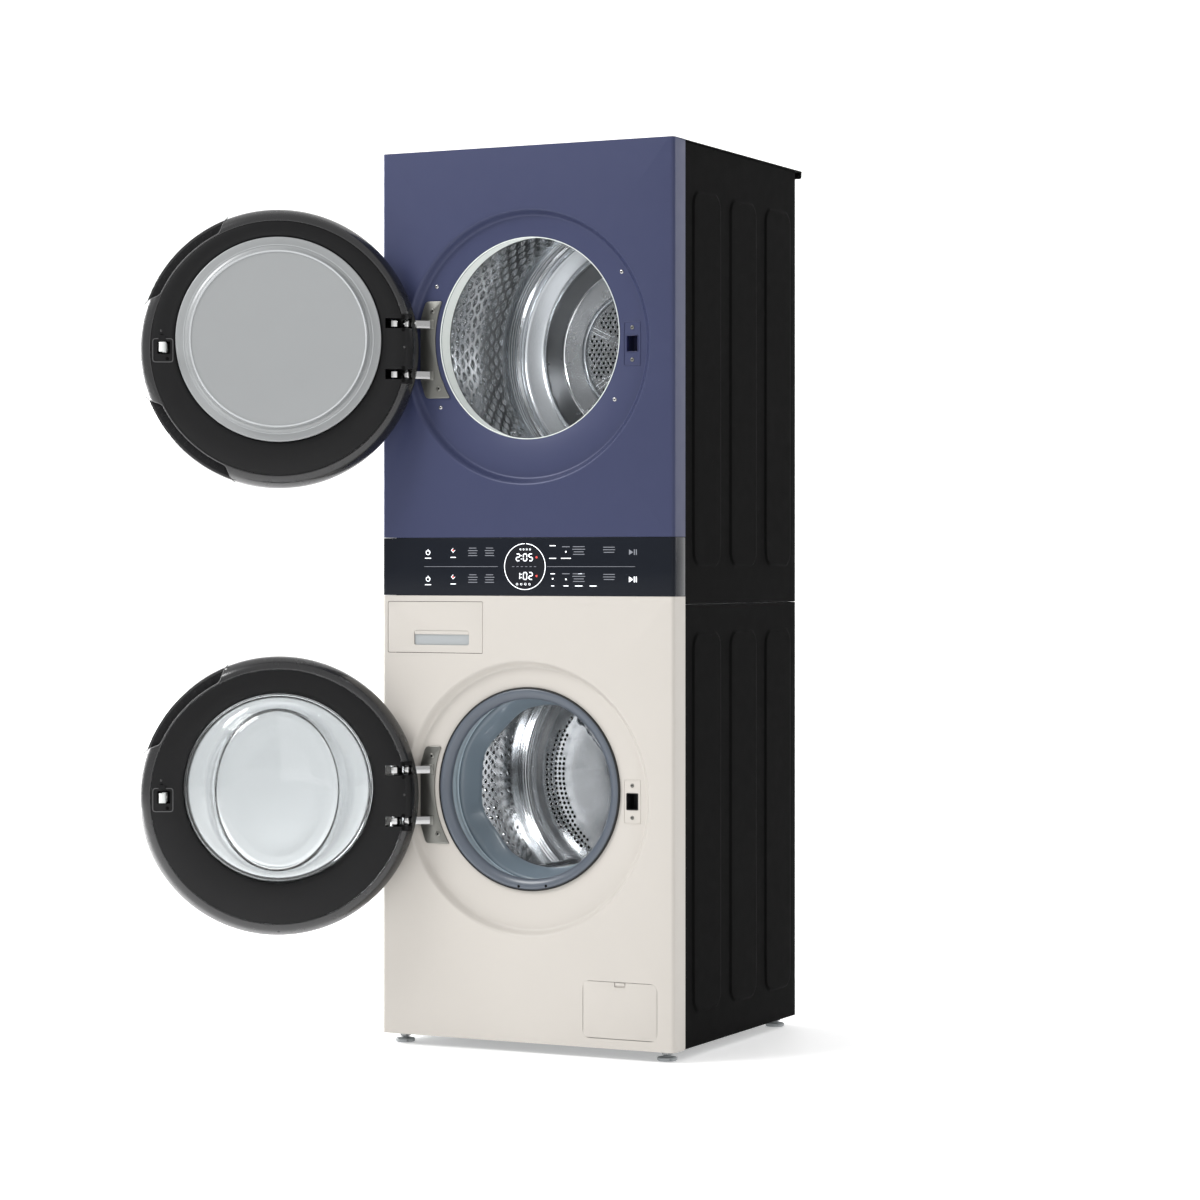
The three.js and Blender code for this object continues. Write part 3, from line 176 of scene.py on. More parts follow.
def rounded(points, radius, steps=4, closed=True):
    """The same outline with each corner turned into an arc, as far as its sides allow."""
    count = len(points)
    result = []
    for i, point in enumerate(points):
        if not closed and i in (0, count - 1):
            result.append(tuple(point))
            continue
        before = Vector(points[i - 1])
        here = Vector(point)
        after = Vector(points[(i + 1) % count])
        back = before - here
        on = after - here
        reach = min(radius, 0.45 * back.length, 0.45 * on.length)
        start = here + back.normalized() * reach
        end = here + on.normalized() * reach
        for k in range(steps + 1):
            t = k / steps
            result.append(tuple((1 - t) ** 2 * start + 2 * t * (1 - t) * here + t * t * end))
    return result


def wound(rows, closed=False):
    """Faces between successive rings of vertex numbers; a ring may be one point, repeated."""
    faces = []
    for a, b in list(zip(rows, rows[1:])) + ([(rows[-1], rows[0])] if closed else []):
        for i in range(len(a)):
            j = (i + 1) % len(a)
            face = list(dict.fromkeys((a[i], a[j], b[j], b[i])))
            if len(face) > 2:
                faces.append(face)
    return faces


def rings_of(count, rings):
    """Vertex numbers of equal rings laid down one after another."""
    return [list(range(k * count, (k + 1) * count)) for k in range(rings)]


def turned(name, profile, z, material, x=0.0, steps=144, crease=38):
    """A profile of (radius, y) turned about an axis along Y; a ring if it never meets the axis."""
    closed = min(r for r, _ in profile) > 1e-6
    angles = np.linspace(0, 2 * math.pi, steps, endpoint=False)
    verts = []
    rows = []
    for r, y in profile:
        if r < 1e-6:
            rows.append([len(verts)] * steps)
            verts.append((x, y, z))
            continue
        rows.append(list(range(len(verts), len(verts) + steps)))
        verts += [(x + r * math.sin(a), y, z + r * math.cos(a)) for a in angles]
    return new_piece(name, verts, wound(rows, closed), material, crease=crease)


def slab(name, first, second, material, rounding):
    """A solid between two outlines with the same number of points."""
    count = len(first)
    faces = [tuple(range(count)), tuple(range(2 * count - 1, count - 1, -1))]
    faces += [(i, (i + 1) % count, count + (i + 1) % count, count + i) for i in range(count)]
    piece = new_piece(name, first + second, faces, material)
    return soften(piece, rounding, 2) if rounding else piece


def prism(name, outline, y0, y1, material, rounding=0.0):
    """An (x, z) outline as a slab from y0 to y1."""
    return slab(name, [(x, y0, z) for x, z in outline], [(x, y1, z) for x, z in outline], material,
                rounding)


def upright_prism(name, outline, z0, z1, material, rounding=0.0):
    """An (x, y) outline as a slab from z0 to z1."""
    return slab(name, [(x, y, z0) for x, y in outline], [(x, y, z1) for x, y in outline], material,
                rounding)


def circle(cx, cz, radius, steps=24, start=0.0, stop=2 * math.pi):
    closed = abs(stop - start) > 6.28
    angles = np.linspace(start, stop, steps, endpoint=not closed)
    return [(cx + radius * math.cos(a), cz + radius * math.sin(a)) for a in angles]


def rounded_rect(x0, x1, z0, z1, radius, steps=5):
    return rounded([(x0, z0), (x1, z0), (x1, z1), (x0, z1)], radius * 1.2, steps)


def merged(name, parts):
    """Several pieces as one object; each keeps its material."""
    work = bmesh.new()
    slots = []
    for part in parts:
        for material in part.data.materials:
            if material not in slots:
                slots.append(material)
    for part in parts:
        before = len(work.faces)
        work.from_mesh(part.data)
        work.faces.ensure_lookup_table()
        remap = [slots.index(material) for material in part.data.materials]
        for face in work.faces[before:]:
            face.material_index = remap[min(face.material_index, len(remap) - 1)]
    mesh = bpy.data.meshes.new(name)
    work.to_mesh(mesh)
    work.free()
    for material in slots:
        mesh.materials.append(material)
    piece = bpy.data.objects.new(name, mesh)
    bpy.context.scene.collection.objects.link(piece)
    for part in parts:
        bpy.data.objects.remove(part)
    return piece


def dress(piece, body, slot, *nodes):
    """Rides the piece on its body and hides the CAD nodes that it stands for; slot is not used."""
    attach(piece, body)
    if nodes:
        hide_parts(*nodes)
    return piece


def swung(piece):
    """Moves a door piece from its closed place to the open stop, in its mesh."""
    hinge = Matrix.Translation((PIVOT[0], PIVOT[1], 0))
    turn = hinge @ Matrix.Rotation(-OPEN, 4, "Z") @ hinge.inverted()
    piece.data.transform(turn)
    return piece


# ---------------------------------------------------------------- repeated details
def stamp_tree():
    """Puts a stamp on every point, turned to the point's facing, as real geometry in one material."""
    tree = bpy.data.node_groups.new("stamp on points", "GeometryNodeTree")
    face = tree.interface
    face.new_socket("Geometry", in_out="INPUT", socket_type="NodeSocketGeometry")
    face.new_socket("Stamp", in_out="INPUT", socket_type="NodeSocketObject")
    face.new_socket("Size", in_out="INPUT", socket_type="NodeSocketFloat")
    face.new_socket("Spread", in_out="INPUT", socket_type="NodeSocketFloat")
    face.new_socket("Finish", in_out="INPUT", socket_type="NodeSocketMaterial")
    face.new_socket("Geometry", in_out="OUTPUT", socket_type="NodeSocketGeometry")
    nodes = tree.nodes
    links = tree.links
    source = nodes.new("NodeGroupInput")
    info = nodes.new("GeometryNodeObjectInfo")
    facing = nodes.new("GeometryNodeInputNamedAttribute")
    facing.data_type = "FLOAT_VECTOR"
    facing.inputs["Name"].default_value = "facing"
    align = nodes.new("FunctionNodeAlignRotationToVector")
    align.axis = "Z"
    vary = nodes.new("FunctionNodeRandomValue")
    vary.data_type = "FLOAT"
    vary.inputs["Seed"].default_value = 7
    smallest = nodes.new("ShaderNodeMath")
    smallest.operation = "SUBTRACT"
    put = nodes.new("GeometryNodeInstanceOnPoints")
    real = nodes.new("GeometryNodeRealizeInstances")
    paint = nodes.new("GeometryNodeSetMaterial")
    sink = nodes.new("NodeGroupOutput")
    links.new(source.outputs["Stamp"], info.inputs["Object"])
    links.new(source.outputs["Geometry"], put.inputs["Points"])
    links.new(info.outputs["Geometry"], put.inputs["Instance"])
    links.new(facing.outputs["Attribute"], align.inputs["Vector"])
    links.new(align.outputs["Rotation"], put.inputs["Rotation"])
    links.new(source.outputs["Size"], smallest.inputs[0])
    links.new(source.outputs["Spread"], smallest.inputs[1])
    links.new(smallest.outputs[0], vary.inputs[2])
    links.new(source.outputs["Size"], vary.inputs[3])
    links.new(vary.outputs[1], put.inputs["Scale"])
    links.new(put.outputs["Instances"], real.inputs["Geometry"])
    links.new(real.outputs["Geometry"], paint.inputs["Geometry"])
    links.new(source.outputs["Finish"], paint.inputs["Material"])
    links.new(paint.outputs["Geometry"], sink.inputs["Geometry"])
    return tree


STAMPS = stamp_tree()


def stamped(name, places, stamp, material, size=1.0, spread=0.0):
    """Copies of the stamp at each (point, facing)."""
    mesh = bpy.data.meshes.new(name)
    mesh.from_pydata([tuple(point) for point, _ in places], [], [])
    facing = mesh.attributes.new("facing", "FLOAT_VECTOR", "POINT")
    facing.data.foreach_set("vector", [c for _, f in places for c in f])
    piece = bpy.data.objects.new(name, mesh)
    bpy.context.scene.collection.objects.link(piece)
    step = piece.modifiers.new("stamp", "NODES")
    step.node_group = STAMPS
    values = {"Stamp": stamp, "Size": size, "Spread": spread, "Finish": material}
    for socket in STAMPS.interface.items_tree:
        if socket.in_out == "INPUT" and socket.name in values:
            step[socket.identifier] = values[socket.name]
    bake(piece)
    piece.data.attributes.remove(piece.data.attributes["facing"])
    piece.data.shade_smooth()
    piece.data.set_sharp_from_angle(angle=math.radians(50))
    return piece


def stamp_from(name, profile, steps, material):
    """A small turned stamp that stands along +Z."""
    piece = turned(name, profile, 0, material, steps=steps, crease=60)
    piece.data.transform(Matrix.Rotation(math.radians(90), 4, "X"))
    tidy_mesh(piece, crease=60)
    return piece


# ---------------------------------------------------------------- finishes
def surface(name, color, rough, metal=0.0, shade=0.06, shade_scale=7.0, rough_span=0.06, rough_scale=40.0,
            bump=0.04, bump_scale=1200.0, stretch=(1, 1, 1), coat=0.0, specular=0.5, glow=None,
            clear=0.0, anisotropic=0.0):
    """A finish with slow colour drift, uneven gloss and a fine grain, all on object coordinates."""
    material = bpy.data.materials.new(name)
    material.use_nodes = True
    nodes = material.node_tree.nodes
    links = material.node_tree.links
    shader = nodes["Principled BSDF"]
    place = nodes.new("ShaderNodeTexCoord")
    turn = nodes.new("ShaderNodeMapping")
    turn.inputs["Scale"].default_value = stretch
    links.new(place.outputs["Object"], turn.inputs["Vector"])

    drift = nodes.new("ShaderNodeTexNoise")
    drift.inputs["Scale"].default_value = shade_scale
    drift.inputs["Detail"].default_value = 4.0
    tint = nodes.new("ShaderNodeMix")
    tint.data_type = "RGBA"
    tint.inputs[6].default_value = (*[c * (1 - shade) for c in color], 1)
    tint.inputs[7].default_value = (*[min(1.0, c * (1 + shade)) for c in color], 1)
    links.new(turn.outputs["Vector"], drift.inputs["Vector"])
    links.new(drift.outputs["Fac"], tint.inputs[0])
    links.new(tint.outputs[2], shader.inputs["Base Color"])

    uneven = nodes.new("ShaderNodeTexNoise")
    uneven.inputs["Scale"].default_value = rough_scale
    span = nodes.new("ShaderNodeMapRange")
    span.inputs["To Min"].default_value = max(0.0, rough - rough_span)
    span.inputs["To Max"].default_value = min(1.0, rough + rough_span)
    links.new(turn.outputs["Vector"], uneven.inputs["Vector"])
    links.new(uneven.outputs["Fac"], span.inputs["Value"])
    links.new(span.outputs["Result"], shader.inputs["Roughness"])

    grain = nodes.new("ShaderNodeTexNoise")
    grain.inputs["Scale"].default_value = bump_scale
    relief = nodes.new("ShaderNodeBump")
    relief.inputs["Strength"].default_value = bump
    relief.inputs["Distance"].default_value = 0.0005
    links.new(turn.outputs["Vector"], grain.inputs["Vector"])
    links.new(grain.outputs["Fac"], relief.inputs["Height"])
    links.new(relief.outputs["Normal"], shader.inputs["Normal"])

    shader.inputs["Metallic"].default_value = metal
    shader.inputs["Coat Weight"].default_value = coat
    shader.inputs["Coat Roughness"].default_value = 0.08
    shader.inputs["Specular IOR Level"].default_value = specular
    shader.inputs["IOR"].default_value = 1.45
    shader.inputs["Transmission Weight"].default_value = clear
    shader.inputs["Anisotropic"].default_value = anisotropic
    if glow:
        shader.inputs["Emission Color"].default_value = (*color, 1)
        shader.inputs["Emission Strength"].default_value = glow
    return material


BLUE = surface("blue satin enamel", (0.036, 0.043, 0.098), 0.40, metal=0.15, shade=0.04, bump=0.04,
               specular=0.4)
BEIGE = surface("beige satin enamel", (0.52, 0.492, 0.455), 0.45, shade=0.02, bump=0.04, specular=0.35)
BEIGE_MOULD = surface("beige moulding", (0.52, 0.492, 0.455), 0.5, shade=0.03, bump=0.12, bump_scale=900)
BLACK_SHEET = surface("black painted sheet", (0.0035, 0.0035, 0.0035), 0.55, shade=0.15, bump=0.05,
                      bump_scale=700, specular=0.012)
FASCIA = surface("dark touch glass", (0.010, 0.012, 0.017), 0.14, shade=0.1, bump=0.0, specular=0.1)
LENS = surface("display window", (0.008, 0.009, 0.013), 0.06, shade=0.1, bump=0.0, specular=0.3)
RIM_GLOSS = surface("graphite gloss rim", (0.011, 0.011, 0.012), 0.26, metal=0.2, shade=0.12, bump=0.02,
                    specular=0.8, coat=0.4)
RIM_GRIP = surface("grip texture", (0.006, 0.006, 0.007), 0.5, shade=0.4, shade_scale=60, bump=0.5,
                   bump_scale=420, specular=0.25)
CHARCOAL = surface("charcoal moulding", (0.0075, 0.0075, 0.008), 0.40, shade=0.12, bump=0.08,
                   bump_scale=900, specular=0.22)
BLACK_PLASTIC = surface("black moulding", (0.008, 0.008, 0.009), 0.5, shade=0.2, bump=0.2)
PALE_PLASTIC = surface("pale moulding", (0.62, 0.64, 0.63), 0.42, shade=0.04, bump=0.1)
GREY_MOULD = surface("grey moulding", (0.36, 0.38, 0.39), 0.5, shade=0.06, bump=0.15)
NAVY_PLASTIC = surface("navy moulding", (0.016, 0.020, 0.070), 0.35, shade=0.15, bump=0.1)
SMOKED = surface("smoked door glass", (0.010, 0.010, 0.012), 0.05, shade=0.1, bump=0.0, coat=1.0)
FROSTED = surface("frosted door panel", (0.315, 0.325, 0.33), 0.34, metal=0.15, shade=0.03, bump=0.03)
FROST_EDGE = surface("polished step", (0.52, 0.54, 0.55), 0.16, metal=0.3, shade=0.03, bump=0.0, coat=0.6)
TINTED = surface("pale tinted glass", (0.56, 0.58, 0.595), 0.06, shade=0.01, rough_span=0.02, bump=0.0,
                 clear=0.9)
CLEAR = surface("door bowl glass", (0.93, 0.95, 0.95), 0.03, shade=0.01, rough_span=0.015, bump=0.0,
                clear=1.0)
MIRROR = surface("polished stainless", (0.70, 0.715, 0.73), 0.12, metal=1.0, shade=0.05, rough_span=0.05,
                 rough_scale=90, bump=0.03, bump_scale=260)
BRUSHED = surface("brushed stainless", (0.40, 0.41, 0.42), 0.26, metal=1.0, shade=0.07, bump=0.10,
                  bump_scale=420, stretch=(1, 0.05, 1), anisotropic=0.4)
DARK_STEEL = surface("shadowed steel", (0.14, 0.145, 0.15), 0.30, metal=1.0, shade=0.15, bump=0.1,
                     bump_scale=300)
BRACKET = surface("nickel bracket", (0.20, 0.20, 0.185), 0.34, metal=0.9, shade=0.1, bump=0.12,
                  bump_scale=600)
CHROME = surface("bright chrome", (0.50, 0.50, 0.50), 0.16, metal=1.0, shade=0.02, rough_span=0.03,
                 bump=0.0)
ZINC = surface("galvanised sheet", (0.33, 0.34, 0.34), 0.42, metal=0.85, shade=0.22, shade_scale=55,
               rough_span=0.12, bump=0.06)
CONE_STEEL = surface("bright cone steel", (0.46, 0.485, 0.51), 0.22, metal=1.0, shade=0.03, rough_span=0.03,
                     bump=0.02)
# The bead is real; its pale colour paints the highlight along the grips' and the hook bay's edges.
HIGHLIGHT_BEAD = surface("pale edge bead", (0.09, 0.09, 0.092), 0.3, shade=0.05, bump=0.0)
PRESSED = surface("pressed stainless", (0.64, 0.655, 0.67), 0.17, metal=1.0, shade=0.04, rough_span=0.05,
                  bump=0.015)
# Flat black standing in for the shade inside holes, screw recesses, louvre slits and perforations: painted shade.
HOLE_SHADE = surface("dark hole", (0.004, 0.004, 0.004), 0.9, shade=0.3, bump=0.0, specular=0.1)
# One rubber in three tones: lighter on the funnel where light falls, darker on the roll and in the folds; painted
# light and shade.
GASKET = surface("slate gasket rubber", (0.085, 0.10, 0.125), 0.34, shade=0.08, bump=0.12, bump_scale=500,
                 coat=0.15)
GASKET_FOLD_SHADE = surface("middle gasket fold", (0.15, 0.19, 0.225), 0.32, shade=0.06, bump=0.08, bump_scale=500,
                     coat=0.2)
GASKET_LIT_FUNNEL = surface("pale gasket fold", (0.42, 0.50, 0.55), 0.34, shade=0.05, bump=0.08, bump_scale=500,
                       coat=0.15)
RUBBER = surface("black rubber", (0.012, 0.012, 0.012), 0.7, shade=0.2, bump=0.3)
MOTOR = surface("motor enamel", (0.03, 0.03, 0.032), 0.4, shade=0.2, bump=0.2)
COIL = surface("fin aluminium", (0.62, 0.60, 0.56), 0.35, metal=0.9, shade=0.12, bump=0.3,
               stretch=(12, 1, 1))
BOARD = surface("green board", (0.02, 0.10, 0.045), 0.35, shade=0.3, shade_scale=300, bump=0.2)
CONCRETE = surface("cast weight", (0.42, 0.41, 0.39), 0.85, shade=0.2, shade_scale=60, bump=0.9,
                   bump_scale=250)
# The seal glows faintly though it is no lamp: painted light.
GLOWING_SEAL = surface("pale seal", (0.74, 0.78, 0.75), 0.4, shade=0.03, bump=0.05, glow=0.06)
GLOW_WHITE = surface("lit symbol", (0.92, 0.95, 1.0), 0.4, glow=1.4)
# These unlit symbols glow faintly though they are no lamp: painted light.
DIM_PAINTED_GLOW = surface("unlit symbol", (0.20, 0.21, 0.24), 0.5, glow=0.12)
GLOW_RED = surface("red symbol", (0.75, 0.06, 0.05), 0.4, glow=0.7)


# ---------------------------------------------------------------- cabinet fronts
CORNER = 7 * MM
FOLD = [(math.sin(t), 1 - math.cos(t)) for t in np.linspace(0, math.pi / 2, 7)]


def dish_section():
    """Radius and depth across the dish, from its floor out to the front plane."""
    inner = DISH_RADIUS - 17.5 * MM
    outer = DISH_RADIUS + 1.5 * MM
    section = []
    for t in np.linspace(0, 1, 15):
        ease = lift(lift(t))
        section.append((inner + (outer - inner) * t, DISH_FLOOR + (FRONT - DISH_FLOOR) * ease))
    return section


def front_sheet(name, side, z0, z1, material, cutters):
    """A front with its dish and mouth in one smooth skin, folded round both corners."""
    ring, mouth, mouth_radius = RING[side], MOUTH[side], MOUTH_RADIUS[side]
    half = SIDE - CORNER
    corners = [math.atan2(z - ring, x) for x in (-half, half) for z in (z0, z1)]
    angles = sorted(set(np.round(list(np.linspace(-math.pi, math.pi, 216, endpoint=False)) + corners, 9)))
    verts, rays, edges = [], [], []
    for a in angles:
        c, s = math.cos(a), math.sin(a)
        ray = [(mouth_radius * c, DISH_BACK + 2 * MM, mouth + mouth_radius * s)]
        for grow, depth in ((0.0, 1.6), (0.5, 0.5), (1.6, 0.0)):
            r = mouth_radius + grow * MM
            ray.append((r * c, DISH_FLOOR + depth * MM, mouth + r * s))
        ray += [(r * c, y, ring + r * s) for r, y in dish_section()]
        reach = min(half / max(abs(c), 1e-9), ((z1 - ring) if s > 0 else (ring - z0)) / max(abs(s), 1e-9))
        ray.append((reach * c, FRONT, ring + reach * s))
        rays.append(list(range(len(verts), len(verts) + len(ray))))
        edges.append((reach * c, ring + reach * s))
        verts += ray
    faces = []
    for a, b in zip(rays, rays[1:] + rays[:1]):
        faces += [(a[i], b[i], b[i + 1], a[i + 1]) for i in range(len(a) - 1)]
    count = len(rays)
    for i in range(count):
        j = (i + 1) % count
        (xa, za), (xb, zb) = edges[i], edges[j]
        path = None
        if abs(abs(xa) - half) < 1e-6 and abs(abs(xb) - half) < 1e-6 and xa * xb > 0:
            sign = math.copysign(1, xa)
            path = [(sign * (half + CORNER * u), FRONT + CORNER * v) for u, v in FOLD[1:]]
            path.append((sign * SIDE, RETURN_END))
            rows = [[(x, y, z) for x, y in path] for z in (za, zb)]
        elif min(abs(za - z0), abs(za - z1)) < 1e-6 and abs(za - zb) < 1e-6:
            depth = 18 * MM if side == "dryer" and za > ring else WALL
            rows = [[(x, FRONT + 0.4 * MM, za), (x, FRONT + depth, za)] for x in (xa, xb)]
            path = rows[0]
        if path:
            first = [rays[i][-1]] + list(range(len(verts), len(verts) + len(rows[0])))
            verts += rows[0]
            second = [rays[j][-1]] + list(range(len(verts), len(verts) + len(rows[1])))
            verts += rows[1]
            faces += [(first[k], second[k], second[k + 1], first[k + 1]) for k in range(len(first) - 1)]
    piece = new_piece(name, verts, faces, material)
    front_faces = [p for p in piece.data.polygons if abs(p.normal.y) > 0.99]
    if sum(p.normal.y * p.area for p in front_faces) > 0:
        piece.data.flip_normals()
    step = piece.modifiers.new("wall", "SOLIDIFY")
    step.thickness = WALL * 0.8
    step.offset = -1
    bake(piece)
    return carve(piece, cutters, crease=32)


def hook_hole(side):
    x, z = LATCH_X, RING[side]
    outline = rounded_rect(x - 12 * MM, x + 12 * MM, z - 15.5 * MM, z + 15.5 * MM, 2 * MM)
    return prism("cutter", outline, FRONT - 0.05, DISH_BACK + 0.02, BLACK_PLASTIC)


def grown(node, by):
    lo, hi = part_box(node)
    return lo[X] - by, hi[X] + by, lo[Z] - by, hi[Z] + by


def washer_front():
    drawer = rounded_rect(*grown("detergent_drawer", 0.8 * MM), 2.5 * MM)
    cover = rounded_rect(*grown("filter_cover", 0.8 * MM), 12 * MM)
    # the drawer's tray reaches no wider than its front, so its box is the front's outline
    holes = [prism("cutter", outline, FRONT - 0.05, FRONT + 0.02, BEIGE) for outline in (drawer, cover)]
    top = PANEL_LOW - 0.6 * MM
    piece = front_sheet("washer_front_skin", "washer", 0.0, top, BEIGE, holes + [hook_hole("washer")])
    dress(piece, "cabinet", "beige_paint", "washer_front_panel")


def dryer_front():
    piece = front_sheet("dryer_front_skin", "dryer", PANEL_HIGH + 0.6 * MM, TOP, BLUE, [hook_hole("dryer")])
    dress(piece, "cabinet", "blue_paint", "dryer_front_panel")


def wrap_outline():
    half = SIDE - CORNER
    inner = CORNER - WALL
    right = [(half + CORNER * u, FRONT + CORNER * v) for u, v in FOLD]
    inside = [(half + inner * u, FRONT + CORNER - inner * (1 - v)) for u, v in FOLD]
    outer = [(-x, y) for x, y in reversed(right)] + right
    back = [(SIDE, RETURN_END), (SIDE - WALL, RETURN_END)] + inside[::-1]
    mirror = [(-x, y) for x, y in inside] + [(-SIDE + WALL, RETURN_END), (-SIDE, RETURN_END)]
    return outer + back + mirror


def control_fascia():
    piece = upright_prism("control_fascia_skin", wrap_outline(), PANEL_LOW, PANEL_HIGH, FASCIA, 0.7 * MM)
    dress(piece, "cabinet", "fascia_black", "control_fascia")
    lens = turned("display_window", scaled([(0, -0.15), (43.2, -0.15), (43.9, 0.4), (43.9, 2.5), (0, 2.5)],
                                           0, FRONT), PANEL_MID, LENS, steps=96)
    dress(lens, "cabinet", "smoked_glass", "display_lens")


# ---------------------------------------------------------------- symbols on the control band
INK = FRONT - 0.35 * MM
INK_BACK = FRONT - 0.05 * MM


def mark(outline, material):
    """A flat symbol on the glass, with its outline in millimetres from the band's middle."""
    points = [(x * MM, PANEL_MID + z * MM) for x, z in outline]
    return prism("mark", points, INK, INK_BACK, material)


def bar(x, z, width, height, material, lean=0.0):
    w, h = width / 2, height / 2
    return mark([(x - w - lean, z - h), (x + w - lean, z - h), (x + w + lean, z + h),
                 (x - w + lean, z + h)], material)


def ring_mark(x, z, radius, width, material, gap=0.0, steps=48):
    start = math.pi / 2 + gap
    stop = math.pi / 2 + 2 * math.pi - gap
    outer = circle(x, z, radius, steps, start, stop - 1e-4)
    inner = circle(x, z, radius - width, steps, start, stop - 1e-4)
    return mark(outer + inner[::-1], material)


SEGMENTS = {
    "0": "abcdef", "1": "bc", "2": "abged", "3": "abgcd", "4": "fgbc", "5": "afgcd", "6": "afgedc",
    "7": "abc", "8": "abcdefg", "9": "abcfgd",
}


def digit(x, z, figure, material, width=7.0, height=12.5, stroke=1.7):
    """A seven-segment figure."""
    w, h = width / 2, height / 2
    upright = h - stroke
    places = {
        "a": (0, h, False), "g": (0, 0, False), "d": (0, -h, False),
        "f": (-w, h / 2, True), "b": (w, h / 2, True), "e": (-w, -h / 2, True), "c": (w, -h / 2, True),
    }
    parts = []
    for key in SEGMENTS[figure]:
        dx, dz, tall = places[key]
        size = (stroke, upright) if tall else (width - stroke, stroke)
        parts.append(bar(x + dx, z + dz, *size, material))
    return parts


def power_mark(x, z, material):
    return [ring_mark(x, z, 4.6, 1.1, material, gap=0.55), bar(x, z + 3.6, 1.1, 4.6, material)]


def label_rows(x, z, widths, material, pitch=4.6):
    """Short bars where a key's caption would be."""
    return [bar(x, z - k * pitch, width, 1.3, material) for k, width in enumerate(widths)]


def control_symbols():
    lit, dim = [], []
    lit.append(ring_mark(0, 0, 42.4, 1.1, GLOW_WHITE, steps=96))
    for row, figures in ((17, "205"), (-17, "102")):
        for k, figure in enumerate(figures):
            lit += digit(-14 + 11.5 * k + (3 if k else 0), row, figure, GLOW_WHITE)
        lit += [bar(-7.3, row + dz, 1.6, 1.6, GLOW_WHITE) for dz in (-3, 3)]
    lit += [bar(-24 + 9 * k, 0, 4.5, 1.0, DIM_PAINTED_GLOW) for k in range(6)]
    for k in range(4):
        lit.append(ring_mark(-9 + 6.5 * k, 31.5, 1.7, 0.6, GLOW_WHITE, steps=16))
        lit.append(ring_mark(-16 + 8.5 * k, -32, 2.1, 0.6, GLOW_WHITE, steps=16))
    red = [ring_mark(24, 17, 2.0, 2.0, GLOW_RED, steps=16),
           ring_mark(24, -17, 2.0, 2.0, GLOW_RED, steps=16)]
    for z in (26, -23):
        lit += power_mark(-202, z, GLOW_WHITE)
        lit += label_rows(-202, z - 10.5, [13], GLOW_WHITE)
        lit += label_rows(-149, z - 9, [11], GLOW_WHITE)
        lit.append(ring_mark(-149, z + 4, 4.4, 1.0, GLOW_WHITE, steps=4))
        red.append(bar(-149, z + 4, 2.6, 2.6, GLOW_RED))
        for x in (-108, -73):
            dim += label_rows(x, z + 8, [15, 20, 17, 19], DIM_PAINTED_GLOW)
        dim += label_rows(84, z + 10, [15], DIM_PAINTED_GLOW)
        dim += label_rows(110, z + 10, [24, 26, 20, 23], DIM_PAINTED_GLOW)
        dim += label_rows(171, z + 9, [23, 24, 21], DIM_PAINTED_GLOW)
    for x, z, width in ((57, 38, 12), (57, 15, 14), (84, 15, 20), (57, -13, 9), (57, -35, 6), (84, -35, 10),
                        (110, -35, 15), (139, -35, 14), (113, -13, 7)):
        lit += label_rows(x, z, [width], GLOW_WHITE)
    lit += [ring_mark(x, z, 1.5, 1.5, GLOW_WHITE, steps=12) for x, z in ((84, 27), (84, -23), (57, -22))]
    for z, material, group in ((26, DIM_PAINTED_GLOW, dim), (-23, GLOW_WHITE, lit)):
        group.append(mark([(211, z - 5), (219, z), (211, z + 5)], material))
        group += [bar(x, z, 1.8, 10, material) for x in (221.5, 225.5)]
    dim += [bar(-133, 0, 154, 0.8, DIM_PAINTED_GLOW), bar(134, 0, 178, 0.8, DIM_PAINTED_GLOW)]
    for name, parts in (("control_symbols_lit", lit + red), ("control_symbols_dim", dim)):
        dress(merged(name, parts), "cabinet", "fascia_black")


# ---------------------------------------------------------------- casings
def lift(t):
    t = np.clip(t, 0, 1)
    return t * t * (3 - 2 * t)


def grid_sheet(name, us, vs, place, material):
    """A sheet from a grid of (u, v), each put in space by place(u, v)."""
    verts = [place(u, v) for u in us for v in vs]
    columns = len(vs)
    faces = []
    for i in range(len(us) - 1):
        for j in range(columns - 1):
            k = i * columns + j
            faces.append((k, k + columns, k + columns + 1, k + 1))
    return new_piece(name, verts, faces, material, crease=60)


def fine_steps(start, stop, marks, coarse=28 * MM):
    """Values from start to stop, close together near each mark."""
    values = {start, stop}
    values.update(np.arange(start, stop, coarse))
    for mark_at in marks:
        values.update(mark_at + np.linspace(-8, 8, 9) * MM)
    return sorted(v for v in values if start <= v <= stop)


EMBOSS_MID = BACK - 250 * MM
EMBOSS_PITCH = 164 * MM
EMBOSS_HALF = 59 * MM
EMBOSS_CORNER = 26 * MM
EMBOSS = {"washer": (62 * MM, 747 * MM), "dryer": (871 * MM, 1548 * MM)}


def rib_depth(y, z, span):
    """How far a point of the casing is pressed out by the ribs' rounded outlines."""
    deepest = 0.0
    for k in (-1, 0, 1):
        mid = EMBOSS_MID + k * EMBOSS_PITCH
        dy = max(abs(y - mid) - (EMBOSS_HALF - EMBOSS_CORNER), 0)
        middle_z = (span[0] + span[1]) / 2
        dz = max(abs(z - middle_z) - ((span[1] - span[0]) / 2 - EMBOSS_CORNER), 0)
        edge = math.hypot(dy, dz) - EMBOSS_CORNER
        deepest = max(deepest, 1 - lift((edge + 4 * MM) / (8 * MM)))
        bead = math.exp(-((edge + 1 * MM) / (2.2 * MM)) ** 2)
        deepest = max(deepest, 0.55 + 0.45 * bead) if edge < 0 else deepest
    return deepest


